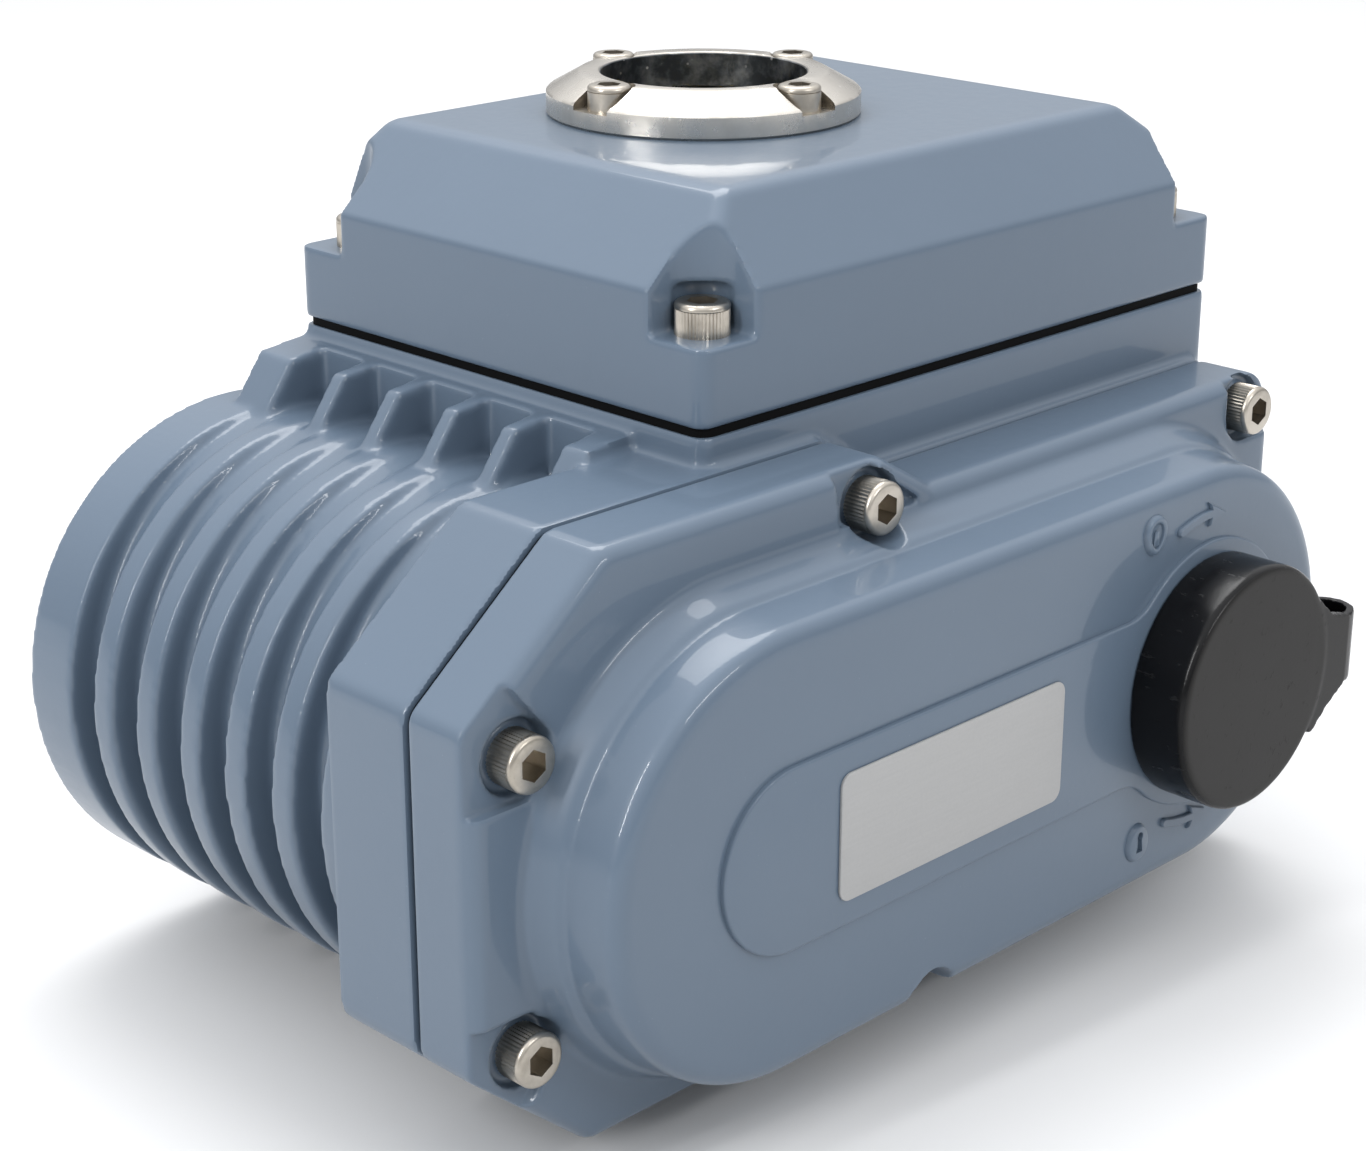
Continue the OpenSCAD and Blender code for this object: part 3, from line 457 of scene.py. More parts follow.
def moved_in(corners, by):
    """Corners of an outline moved inwards, with their radii kept."""
    moved = []
    for i, (x, y, radius) in enumerate(corners):
        here = Vector((x, y))
        u = (here - Vector(corners[i - 1][:2])).normalized()
        v = (Vector(corners[(i + 1) % len(corners)][:2]) - here).normalized()
        shift = Vector((-u.y - v.y, u.x + v.x)) * by / (1 + u.dot(v))
        moved.append((x + shift.x, y + shift.y, radius))
    return moved


def stadium(name, profile, sides=192):
    """The long boss's form: a piece turned at the motor's axis, one half of it moved to the worm's axis."""
    shape = turned(name, profile, "Y", (MOTOR_X, 0, GEAR_Z), sides)
    shape.pick("VERT", lambda co: co.x > MOTOR_X + 0.01).move(x=WORM_X - MOTOR_X)
    leave_edit()
    return shape


def copied_from(node, name):
    """A copy of a CAD node's mesh in millimetres, with its loose triangles merged."""
    item = nodes[node].copy()
    item.data = nodes[node].data.copy()
    item.parent = None
    item.matrix_world = Matrix.Identity(4)
    item.hide_viewport = False
    item.hide_render = False
    for key in list(item.keys()):
        del item[key]
    bpy.context.scene.collection.objects.link(item)
    item.data.transform(Matrix.Scale(1 / METRE, 4))
    only(item)
    return Shape(name).clean()


# Materials


class Value:
    """A socket of a material. Python's operators on it add Math nodes."""

    def __init__(self, material, socket):
        self.material = material
        self.socket = socket

    def maths(self, operation, *terms):
        return self.material.node("ShaderNodeMath", terms, operation=operation)

    def __add__(self, other):
        return self.maths("ADD", self, other)

    def __sub__(self, other):
        return self.maths("SUBTRACT", self, other)

    def __rsub__(self, other):
        return self.maths("SUBTRACT", other, self)

    def __mul__(self, other):
        return self.maths("MULTIPLY", self, other)

    def __pow__(self, other):
        return self.maths("POWER", self, other)

    __radd__ = __add__
    __rmul__ = __mul__


class Material:
    """A Principled material whose patterns read the Object coordinates, in metres."""

    def __init__(self, name, **constants):
        self.data = bpy.data.materials.new(name)
        self.data.use_nodes = True
        self.tree = self.data.node_tree
        self.surface = self.tree.nodes["Principled BSDF"]
        for key, value in constants.items():
            self.surface.inputs[key.replace("_", " ")].default_value = value
        self.place = self.node("ShaderNodeTexCoord", output="Object")

    def node(self, kind, inputs=(), output=0, **settings):
        """Adds a node: its settings first, then its inputs, a list in order or a dict by name or number."""
        node = self.tree.nodes.new(kind)
        for key, value in settings.items():
            setattr(node, key, value)
        pairs = inputs.items() if isinstance(inputs, dict) else enumerate(inputs)
        for key, value in pairs:
            self.feed(node.inputs[key], value)
        return Value(self, node.outputs[output])

    def feed(self, socket, value):
        if isinstance(value, Value):
            self.tree.links.new(value.socket, socket)
        else:
            socket.default_value = value

    def axis(self, letter):
        return self.node("ShaderNodeSeparateXYZ", [self.place], output=letter)

    def stretched(self, factors, centre=(0, 0, 0)):
        shift = tuple(-c * f for c, f in zip(centre, factors))
        return self.node("ShaderNodeMapping", {"Vector": self.place, "Location": shift, "Scale": factors})

    def noise(self, scale, detail=2.0, rough=0.5, place=None):
        sockets = {"Vector": place or self.place, "Scale": scale, "Detail": detail, "Roughness": rough}
        return self.node("ShaderNodeTexNoise", sockets)

    def specks(self, scale, size, place=None):
        """1 in small round spots, 0 elsewhere."""
        cells = self.node("ShaderNodeTexVoronoi", {"Vector": place or self.place, "Scale": scale})
        return self.between(cells, size, size * 0.5)

    def between(self, value, low, high):
        """0 below low and 1 above high, with a smooth step."""
        sockets = {"Value": value, "From Min": low, "From Max": high}
        return self.node("ShaderNodeMapRange", sockets, interpolation_type="SMOOTHSTEP")

    def mix(self, factor, first, second):
        sockets = {0: factor, 6: first, 7: second}
        return self.node("ShaderNodeMix", sockets, output=2, data_type="RGBA")

    def colour(self, value):
        self.feed(self.surface.inputs["Base Color"], value)

    def roughness(self, value):
        self.feed(self.surface.inputs["Roughness"], value)

    def relief(self, height, depth):
        """Bump of that depth in metres for a height from 0 to 1."""
        sockets = {"Height": height, "Distance": depth, "Strength": 1.0}
        self.feed(self.surface.inputs["Normal"], self.node("ShaderNodeBump", sockets, output="Normal"))


def shade(r, g, b):
    return (r, g, b, 1.0)


def cast_paint():
    """Blue-grey gloss enamel on cast aluminium."""
    paint = Material("housing_paint", Coat_Weight=0.4, Coat_Roughness=0.05, Specular_IOR_Level=0.25)
    drift = paint.noise(14, 3.0)
    skin = paint.noise(420, 2.0)
    cast = paint.noise(95, 2.0)
    dust = paint.specks(260, 0.035)
    body = paint.mix(drift, shade(0.094, 0.130, 0.178), shade(0.108, 0.148, 0.200))
    paint.colour(paint.mix(dust * 0.25, body, shade(0.18, 0.23, 0.29)))
    paint.roughness(drift * 0.10 + skin * 0.06 + 0.26)
    paint.relief(skin * 0.35 + cast * 0.9 + dust * 0.4, 0.00006)
    return paint.data


def steel(name, light, dark, rough, scratch=0.5):
    """Bright nickel-plated or stainless steel with fine rubbed marks and a darker tarnish."""
    metal = Material(name, Metallic=1.0)
    tarnish = metal.noise(130, 4.0, 0.65)
    rub = metal.noise(60, 3.0, 0.6, metal.stretched((1, 1, 14)))
    marks = metal.specks(900, 0.10)
    mask = metal.between(tarnish, 0.35, 0.72)
    metal.colour(metal.mix(mask * 0.7 + marks * 0.3, light, dark))
    metal.roughness(rub * 0.18 + tarnish * 0.10 + rough)
    metal.relief(rub * scratch + marks * 0.6, 0.00002)
    return metal.data


def ring_steel():
    """The window ring: turned and satin, with painted shade that darkens the inner wall of its opening."""
    metal = Material("ring_steel", Metallic=1.0)
    x = metal.axis("X")
    y = metal.axis("Y")
    radius = (x * x + y * y) ** 0.5
    # Mask of the opening's inner wall, which is darkened with painted shade
    inner = 1 - metal.between(radius, 0.0207, 0.0210)
    lathe = metal.noise(2600, 1.0, 0.5, metal.node("ShaderNodeCombineXYZ", [radius, 0.0, metal.axis("Z")]))
    cloud = metal.noise(140, 4.0, 0.65)
    chips = metal.specks(420, 0.16) * metal.between(metal.noise(60), 0.45, 0.6)
    bright = metal.mix(cloud * 0.8, shade(0.76, 0.72, 0.66), shade(0.44, 0.41, 0.36))
    # Painted shade: near-black tones laid on the inner wall of the opening
    dark = metal.mix(metal.between(cloud, 0.4, 0.7), shade(0.05, 0.055, 0.06), shade(0.20, 0.21, 0.22))
    # Bright turned steel outside, painted shade on the inner wall
    tone_with_painted_shade = metal.mix(inner, bright, dark)
    metal.colour(metal.mix(chips * 0.6, tone_with_painted_shade, shade(0.85, 0.82, 0.78)))
    metal.roughness(cloud * 0.16 + inner * 0.15 + 0.20)
    metal.relief(lathe * 0.25 + chips * -0.8 + cloud * 0.5, 0.00003)
    return metal.data


def brushed_plate():
    """The bare nameplate: satin aluminium, brushed along its length."""
    metal = Material("plate_silver", Metallic=0.1, Specular_IOR_Level=0.2)
    brush = metal.noise(240, 3.0, 0.7, metal.stretched((0.4, 1, 7)))
    grain = metal.noise(1500, 2.0)
    metal.colour(metal.mix(brush * 0.6 + grain * 0.4, shade(0.34, 0.34, 0.34), shade(0.42, 0.42, 0.417)))
    metal.roughness(brush * 0.20 + 0.46)
    metal.relief(brush * 0.6 + grain * 0.4, 0.00002)
    return metal.data


def cap_plastic():
    """Black moulded plastic: glossy with fine hair marks round the side, satin on the face."""
    plastic = Material("cap_black", Specular_IOR_Level=0.22)
    face = 1 - plastic.between(plastic.axis("Y"), -0.1146, -0.1141)
    cloud = plastic.noise(55, 3.0)
    hair = plastic.between(plastic.noise(500, 4.0, 0.7, plastic.stretched((1, 0.3, 1))), 0.60, 0.68)
    spots = plastic.specks(380, 0.06)
    side_tone = plastic.mix(spots * 0.5 + hair * 0.12, shade(0.003, 0.003, 0.0035), shade(0.06, 0.06, 0.06))
    face_tone = plastic.mix(cloud, shade(0.0105, 0.0099, 0.0094), shade(0.0155, 0.0146, 0.0138))
    plastic.colour(plastic.mix(face, side_tone, face_tone))
    plastic.roughness(face * 0.24 + cloud * 0.10 + hair * 0.10 + 0.17)
    plastic.relief(hair * 0.5 + plastic.noise(900, 2.0) * 0.3, 0.00003)
    return plastic.data


def rubber(name):
    soft = Material(name, Specular_IOR_Level=0.03)
    grain = soft.noise(900, 2.0)
    bloom = soft.noise(60, 3.0)
    soft.colour(soft.mix(bloom, shade(0.003, 0.003, 0.003), shade(0.007, 0.007, 0.0075)))
    soft.roughness(bloom * 0.2 + 0.5)
    soft.relief(grain, 0.00004)
    return soft.data


def moulded(name, first, second, rough):
    """A plain moulded plastic or painted small part."""
    plastic = Material(name)
    cloud = plastic.noise(80, 3.0)
    grain = plastic.noise(1200, 2.0)
    plastic.colour(plastic.mix(cloud, first, second))
    plastic.roughness(cloud * 0.12 + rough)
    plastic.relief(grain, 0.00002)
    return plastic.data


def window_clear():
    glass = Material("window_clear", Transmission_Weight=1.0, IOR=1.48)
    film = glass.noise(70, 3.0)
    glass.colour(glass.mix(film, shade(0.88, 0.93, 0.95), shade(0.96, 0.98, 0.98)))
    glass.roughness(film * 0.05 + 0.02)
    glass.relief(film, 0.00001)
    return glass.data


def wound_copper():
    """Motor windings: enamelled wire, seen as fine turns."""
    wire = Material("copper", Metallic=0.9)
    turns = wire.noise(700, 1.0, 0.5, wire.stretched((1, 3, 1)))
    wire.colour(wire.mix(turns, shade(0.45, 0.18, 0.07), shade(0.72, 0.36, 0.16)))
    wire.roughness(turns * 0.2 + 0.3)
    wire.relief(turns, 0.0002)
    return wire.data


def laminated_core():
    """Stator and rotor iron: thin sheets stacked along the motor's axis."""
    iron = Material("core_steel", Metallic=1.0)
    sheets = iron.noise(1600, 0.0, 0.5, iron.stretched((0.02, 1, 0.02)))
    iron.colour(iron.mix(sheets, shade(0.16, 0.16, 0.17), shade(0.34, 0.34, 0.36)))
    iron.roughness(sheets * 0.2 + 0.35)
    iron.relief(sheets, 0.0001)
    return iron.data


FINISHES = {
    "housing_paint": cast_paint(),
    "stainless": steel("stainless", shade(0.52, 0.48, 0.42), shade(0.30, 0.27, 0.225), 0.18),
    "ring_steel": ring_steel(),
    "ground_steel": steel("ground_steel", shade(0.62, 0.62, 0.62), shade(0.42, 0.42, 0.43), 0.16, 0.2),
    "hardened_steel": steel("hardened_steel", shade(0.42, 0.42, 0.44), shade(0.24, 0.24, 0.26), 0.22),
    "bronze": steel("bronze", shade(0.66, 0.44, 0.18), shade(0.42, 0.26, 0.10), 0.24),
    "gear_steel": steel("gear_steel", shade(0.56, 0.53, 0.46), shade(0.34, 0.32, 0.28), 0.24),
    "rubber_black": rubber("rubber_black"),
    "cap_black": cap_plastic(),
    "plate_silver": brushed_plate(),
    "window_clear": window_clear(),
    "deck_zinc": steel("deck_zinc", shade(0.58, 0.59, 0.60), shade(0.40, 0.41, 0.43), 0.32),
    "core_steel": laminated_core(),
    "copper": wound_copper(),
    "cam_red": moulded("cam_red", shade(0.45, 0.02, 0.015), shade(0.55, 0.03, 0.02), 0.35),
    "cam_green": moulded("cam_green", shade(0.02, 0.24, 0.06), shade(0.03, 0.30, 0.08), 0.35),
    "disc_yellow": moulded("disc_yellow", shade(0.75, 0.46, 0.02), shade(0.82, 0.53, 0.03), 0.35),
    "switch_black": moulded("switch_black", shade(0.010, 0.010, 0.011), shade(0.020, 0.020, 0.021), 0.38),
    "board_green": moulded("board_green", shade(0.008, 0.09, 0.03), shade(0.012, 0.12, 0.04), 0.30),
    "spacer_nickel": steel("spacer_nickel", shade(0.66, 0.62, 0.52), shade(0.45, 0.42, 0.36), 0.22),
    "terminal_green": moulded("terminal_green", shade(0.02, 0.20, 0.05), shade(0.03, 0.26, 0.07), 0.40),
    "capacitor_grey": moulded("capacitor_grey", shade(0.05, 0.06, 0.08), shade(0.07, 0.08, 0.10), 0.32),
}

NODE_FINISH = {
    "housing_paint": ["rear_bearing_cap"],
    "stainless": ["deck_screws", "shield_screws", "rear_cap_screws", "stop_screws", "stop_nuts"],
    "ground_steel": ["output_shaft", "worm_shaft", "worm_bearings", "motor_bearings", "motor_shaft",
                     "idler_pin", "cluster_pin"],
    "hardened_steel": ["worm", "wheel_key", "travel_stop", "motor_pinion"],
    "bronze": ["output_bush", "deck_bush", "worm_wheel"],
    "gear_steel": ["worm_gear", "idler_gear", "cluster_gear"],
    "rubber_black": ["lid_seal", "cover_gasket", "window_seal", "shaft_seal", "output_seal"],
    "window_clear": ["window_glass"],
    "deck_zinc": ["gear_deck", "worm_spacers", "motor_shield", "switch_bracket", "capacitor_clip",
                  "open_lever", "close_lever"],
    "core_steel": ["motor_stator", "motor_rotor"],
    "copper": ["motor_coils"],
    "cam_red": ["open_cam"],
    "cam_green": ["close_cam"],
    "disc_yellow": ["indicator_disc"],
    "switch_black": ["open_switch", "close_switch", "cable_glands"],
    "board_green": ["control_board"],
    "spacer_nickel": ["board_spacers"],
    "terminal_green": ["terminal_block"],
    "capacitor_grey": ["capacitor"],
}


# Castings


def gear_housing():
    """The main casting: the CAD solid with a finely turned barrel laid in, run together and rounded."""
    barrel = rod("barrel", BARREL_R + SKIN, *BARREL_Y, "Y", (MOTOR_X, GEAR_Z), 256)
    past = BARREL_R + 9
    profile = [(GROOVE_FLOOR, -GROOVE_W), (past, -GROOVE_W), (past, 0), (GROOVE_FLOOR, 0)]
    for i in range(GROOVES):
        centre = (MOTOR_X + GROOVE_OFF[0], FIRST_GROOVE - i * GROOVE_PITCH, GEAR_Z + GROOVE_OFF[1])
        barrel.cut(turned("groove", profile, "Y", centre, 256))
    barrel.cut(rod("bore", BARREL_BORE, BARREL_Y[0] - 1, BORE_END, "Y", (MOTOR_X, GEAR_Z), 128))
    barrel.cut(block("case_side", (CASE_X[0] + 1, -70, 0), (0, 70, 130)))
    opening, radius, height = BASE_PAD
    pad = turned("pad", [(opening, 0), (radius, 0), (radius, height), (opening, height)], sides=192)
    housing = copied_from("gear_housing", "gear_housing_cast")
    housing.lay_in(barrel, pad)

    def on_fins(co):
        return co.x < CASE_X[0] - 4 and BARREL_Y[0] + 3 < co.y < FIRST_GROOVE + 2

    return housing.cast(HOUSING_GRAIN, 4, HOUSING_BUDGET, [(9, on_fins)])


def panel_outline():
    """The raised panel: a stadium that widens through soft fillets into the circle round the cap."""
    fillet = 11.0
    reach = RING_BOSS_R + fillet
    rise = PANEL_HALF + fillet
    back = math.sqrt(reach**2 - rise**2)
    lean = math.degrees(math.atan2(rise, back))
    upper = (WORM_X - back, GEAR_Z + rise)
    lower = (WORM_X - back, GEAR_Z - rise)
    ring = arc((WORM_X, GEAR_Z), RING_BOSS_R, -180 + lean, 180 - lean, 64)
    far_end = arc((MOTOR_X, GEAR_Z), PANEL_HALF, 90, 270, 48)
    into_ring = arc(upper, fillet, -lean, -90, 10)
    out_of_ring = arc(lower, fillet, 90, lean, 10)
    return ring + into_ring + far_end + out_of_ring


def boss_profile():
    """The long boss in (radius, y) points, from the rim's face through a soft hollow and the step."""
    foot = [(0, RIM_Y + 2.9), (47.2, RIM_Y + 2.9), (47.2, RIM_Y + 0.05)]
    hollow = [(46.3, RIM_Y - 0.2), (45.5, RIM_Y - 0.8), (45.0, RIM_Y - 1.8)]
    step = [(43.5, STEP_Y + 0.5), (43.1, STEP_Y), (42.5, STEP_Y - 0.4)]
    edge = [(41.5, BOSS_Y + 2.8), (41.2, BOSS_Y + 1.7), (40.4, BOSS_Y + 0.8), (39.2, BOSS_Y + 0.2)]
    return foot + hollow + step + edge + [(37.8, BOSS_Y), (0, BOSS_Y)]


def recesses():
    """The recesses round the cover's screws, as cutters."""
    outlines = [LUG_TOP, LUG_LOW]
    for side in (-1, 1):
        for lug in (LUG_LEFT, LUG_RIGHT):
            outlines.append([(x, GEAR_Z + side * z, radius) for x, z, radius in lug])
    return [plate("recess", rounded(outline, 6), RIM_Y - 6, RIM_Y + LUG_DROP) for outline in outlines]


def end_cover():
    """The cover over the gear train: a low rim, the long boss with its step, and the raised panel."""
    rim = plate("end_cover_cast", rounded(FLANGE_CORNERS), END_Y - SEAM, RIM_Y + RIM_ROUND)
    rim.pick("FACE", lambda co, n: n.y < -0.9 and co.y < END_Y - 1).round_over(RIM_ROUND, 5, -1)
    rim.pick("FACE", lambda co, n: n.y > 0.9).inset(SEAM).move(y=SEAM)
    leave_edit()
    rim.cut(*recesses())
    bore, radius, length = SPIGOT
    profile = [(bore, 0), (radius, 0), (radius, -length), (bore, -length)]
    spigot = turned("spigot", profile, "Y", (WORM_X, BOSS_Y, GEAR_Z))
    rim.add(stadium("boss", boss_profile()))
    inner = plate("gear_room", rounded(moved_in(FLANGE_CORNERS, 7)), END_Y + 1, RIM_Y + 4)
    for x, z in COVER_SCREWS:
        inner.cut(rod("screw_boss", 8, RIM_Y, END_Y + 2, "Y", (x, z), 48))
    rim.cut(inner)
    room_r = BOSS_R - 4
    back = END_Y + 1
    deep = stadium("deep_room", [(0, BOSS_Y + 4), (room_r, BOSS_Y + 4), (room_r, back), (0, back)])
    for x in PIN_BOSSES:
        deep.cut(rod("pin_boss", 7, BOSS_Y, PIN_BOSS_Y, "Y", (x, GEAR_Z), 48))
    deep.cut(rod("shaft_boss", 16, BOSS_Y, HUB_Y, "Y", (WORM_X, GEAR_Z), 64))
    rim.cut(deep)
    rim.add(spigot)
    rim.cut(rod("shaft_hole", SHAFT_HOLE_R, FAR_Y, PIN_BOSS_Y + 1, "Y", (WORM_X, GEAR_Z)))
    for x in PIN_BOSSES:
        rim.cut(rod("pin_hole", 3, BOSS_Y + 2, PIN_BOSS_Y + 1, "Y", (x, GEAR_Z), 32))
    seat_y = RIM_Y + SCREW_SINK
    inner_r = M6[1] - 0.4
    top = seat_y - 0.5
    floor = seat_y + SEAT_GROOVE
    groove = [(inner_r, top), (LUG_ROOM, top), (LUG_ROOM, floor), (inner_r, floor)]
    for x, z in COVER_SCREWS:
        rim.cut(rod("head_room", LUG_ROOM, seat_y, RIM_Y - 20, "Y", (x, z), 64))
        rim.cut(turned("seat_groove", groove, "Y", (x, 0, z), 64))
        rim.cut(rod("screw_hole", M6[0] + 0.3, END_Y + 1, RIM_Y + 1, "Y", (x, z), 32))
    rim.cast(COVER_GRAIN, 4, COVER_BUDGET)
    panel = plate("panel", panel_outline(), BOSS_Y + 0.8, BOSS_Y - PANEL_RISE + 0.35)
    panel.raise_face([(0.1, 0.2), (0.15, 0.1), (0.25, 0.05)])
    panel.cut(rod("shaft_hole", SHAFT_HOLE_R, FAR_Y, PIN_BOSS_Y + 1, "Y", (WORM_X, GEAR_Z), 96))
    return rim.lay_in(panel, *signs())


def egg(centre, width, height, lean):
    """An egg's outline, wider above for a positive lean."""
    points = []
    for i in range(48):
        angle = math.tau * i / 48
        wide = width / 2 * (1 + lean * math.sin(angle))
        points.append((centre[0] + wide * math.cos(angle), centre[1] + height / 2 * math.sin(angle)))
    return points


def plaque(side, centre):
    """A small egg-shaped plaque. The upper one is an open padlock's ring, the lower one has a keyhole."""
    x, z = centre
    shape = plate("plaque", egg(centre, *PLAQUE_SIZE, PLAQUE_LEAN * side), BOSS_Y + 0.6, BOSS_Y - 0.1)
    dome = [(0.35, 0.5), (0.2, 0.2), (0.25, 0.1)]
    if side > 0:
        shape.raise_face(dome + [(0.5, 0), (0.2, -0.1), (0.15, -0.5), (0.1, -0.05)])
        body = [(x - 0.9, z - 2.0, 0.2), (x + 0.9, z - 2.0, 0.2)]
        body += [(x + 0.6, z + 1.0, 0.5), (x - 0.6, z + 1.0, 0.5)]
        lock = plate("lock", rounded(body, 4), BOSS_Y + 0.5, BOSS_Y - 0.6)
        lock.raise_face([(0.12, 0.1)])
        return shape.lay_in(lock)
    shape.raise_face(dome)
    x += 0.15
    z += 1.4
    shape.cut(rod("keyhole", 0.95, BOSS_Y + 0.4, BOSS_Y - 3, "Y", (x, z), 24))
    slot = [(x - 1.0, z - 3.4), (x + 1.0, z - 3.4), (x + 0.5, z), (x - 0.5, z)]
    return shape.cut(plate("slot", slot, BOSS_Y + 0.4, BOSS_Y - 3))


def arrow(side, radius):
    """A curved arrow that points to the right round the cap."""
    tail, neck, tip = ARROW_ANGLES
    outer = arc((0, 0), radius + ARROW_HALF, tail, neck, 12)
    inner = arc((0, 0), radius - ARROW_HALF, neck, tail, 12)
    head = []
    for out, angle in ((ARROW_HEAD, neck + 1), (-0.3, tip), (-ARROW_HEAD, neck + 1)):
        head += arc((0, 0), radius + out, angle, angle, 1)[:1]
    middle = math.radians(tail)
    end = arc((radius * math.cos(middle), radius * math.sin(middle)), ARROW_HALF, tail + 180, tail, 8)[1:-1]
    outline = [(WORM_X + x, GEAR_Z + side * z) for x, z in outer + head + inner + end]
    return plate("arrow", outline, BOSS_Y + 0.6, BOSS_Y - 0.3).raise_face([(0.12, 0.35), (0.16, 0.15)])


def signs():
    plaques = [plaque(side, centre) for side, centre in PLAQUES]
    return plaques + [arrow(side, radius) for side, radius in ARROW_ARCS]


def top_cover():
    """The square cover: upright below, sloping above, with a notch over each corner screw."""
    cover = plate("top_cover_cast", rounded_box(CASE_X, CASE_Y, 3), LID_Z, LID_KINK, "Z")
    centre = (sum(CASE_X) / 2, sum(CASE_Y) / 2, LID_TOP)
    shrink = ((LID_TOP_X[1] - LID_TOP_X[0]) / (CASE_X[1] - CASE_X[0]),
              (LID_TOP_Y[1] - LID_TOP_Y[0]) / (CASE_Y[1] - CASE_Y[0]), 1)
    cover.pick("FACE", lambda co, n: n.z > 0.9).extrude(z=LID_TOP - LID_KINK).scale(shrink, centre)
    cover.move(sum(LID_TOP_X) / 2 - centre[0], sum(LID_TOP_Y) / 2 - centre[1])
    cover.pick("EDGE", lambda a, b: a.z > LID_TOP - 0.1 and b.z > LID_TOP - 0.1).bevel(LID_EDGE, 6)
    leave_edit()
    walls = rounded_box(shrunk(CASE_X, LID_WALL), shrunk(CASE_Y, LID_WALL), 3)
    room = plate("room", walls, LID_Z - 1, LID_KINK - 1, "Z")
    block_in = NOTCH + 5.5
    for x in ((CASE_X[0] - 1, CASE_X[0] + block_in), (CASE_X[1] - block_in, CASE_X[1] + 1)):
        for y in ((CASE_Y[0] - 1, CASE_Y[0] + block_in), (CASE_Y[1] - block_in, CASE_Y[1] + 1)):
            room.cut(block("corner", (x[0], y[0], LID_Z - 2), (x[1], y[1], LID_TOP)))
    cover.cut(room)
    cover.cut(plate("upper_room", rounded_box(*UPPER_ROOM, 5), LID_KINK - 2, LID_TOP - 5, "Z"))
    for side_x, x in ((-1, CASE_X[0]), (1, CASE_X[1])):
        for side_y, y in ((-1, CASE_Y[0]), (1, CASE_Y[1])):
            span_x = sorted((x + side_x * 12, x - side_x * NOTCH))
            span_y = sorted((y + side_y * 12, y - side_y * NOTCH))
            outline = rounded_box(span_x, span_y, NOTCH_CORNER, 16)
            cover.cut(plate("notch", outline, LID_SEAT, LID_TOP + 5, "Z"))
            at = (x - side_x * SCREW_IN, y - side_y * SCREW_IN)
            cover.cut(rod("head_room", M6[1] + HEAD_SPACE, LID_SEAT, LID_SEAT + 8.5, "Z", at, 48))
            cover.cut(rod("screw_hole", M6[0] + 0.3, LID_Z - 1, LID_SEAT + 1, "Z", at, 32))
    cover.cut(rod("opening", WINDOW_R, LID_TOP - 10, LID_TOP + 2, sides=128))
    cover.cut(rod("glass_seat", GLASS_R, LID_TOP - 3, LID_TOP + 2, sides=128))
    for i in range(4):
        at = (RING_SCREW_R * math.cos(i * math.pi / 2), RING_SCREW_R * math.sin(i * math.pi / 2))
        cover.cut(rod("tapped_hole", M5[0], LID_TOP - 4, LID_TOP + 2, "Z", at, 32))
    return cover.cast(LID_GRAIN, 4, COVER_BUDGET)


# Smaller pieces


def cap_screw(name, size, length, ridges):
    """A socket head screw that stands on z = 0: ridged side, chamfered head, hexagon socket."""
    shank, head, height = size
    collar = [
        (0, height - 1.5), (head - 0.3, height - 1.5), (head, height - 1.1), (head, height - 0.75),
        (head - 0.12, height - 0.4), (head - 0.4, height - 0.12), (head - 0.8, height), (0, height),
    ]
    screw = turned(name, collar, sides=72)
    side = rod("side", head - 0.01, 0, height - 1.3, sides=max(ridges, 24) * 2)
    if ridges:
        for i, vert in enumerate(side.item.data.vertices):
            if (i // 2) % 2:
                vert.co.x *= KNURL
                vert.co.y *= KNURL
    screw.add(side)
    screw.cut(rod("socket", shank * 0.96, height * 0.15, height + 1, sides=6))
    return screw.add(rod("shank", shank, -length, 0.5, sides=32))


def screws(name, pattern, places, axis="Z"):
    """Copies of one screw at each place, as one piece."""
    copies = []
    for x, y, z in places:
        one = pattern.copy(name)
        one.all()
        if axis == "Y":
            one.turn(90, "X", (0, 0, 0))
        one.move(x, y, z)
        leave_edit()
        copies.append(one)
    bpy.data.objects.remove(pattern.item)
    return copies[0].lay_in(*copies[1:])


def window_ring():
    """The ring round the window: a low rim, a conical face and a milled seat at each screw."""
    recess = GLASS_R + 0.1
    profile = [
        (WINDOW_R, 1.4), (WINDOW_R, 7.9), (WINDOW_R + 0.5, 8.3), (24.8, 8.3), (25.2, 8.1),
        (RING_R - 0.5, 4.9), (RING_R, 4.4), (RING_R, 0.5), (RING_R - 0.5, 0), (recess, 0), (recess, 1.4),
    ]
    ring = turned("window_ring_turned", profile, "Z", (0, 0, LID_TOP), 160)
    seat_z = LID_TOP + RING_SEAT
    for i in range(4):
        turn = i * math.pi / 2
        at = (RING_SCREW_R * math.cos(turn), RING_SCREW_R * math.sin(turn))
        seat = rod("seat", M5[1] + 0.9, seat_z, seat_z + 9, "Z", at, 64)
        outward = Vector((math.cos(turn), math.sin(turn), 0))
        seat.pick("VERT", lambda co: (co.x - at[0]) * outward.x + (co.y - at[1]) * outward.y > 0.1)
        seat.move(*(outward * 3))
        leave_edit()
        ring.cut(seat)
        ring.cut(rod("hole", M5[0] + 0.2, LID_TOP - 1, LID_TOP + 9, "Z", at, 32))
    return ring.modify("BEVEL", width=0.22, segments=2, limit_method="ANGLE", angle_limit=math.radians(35))


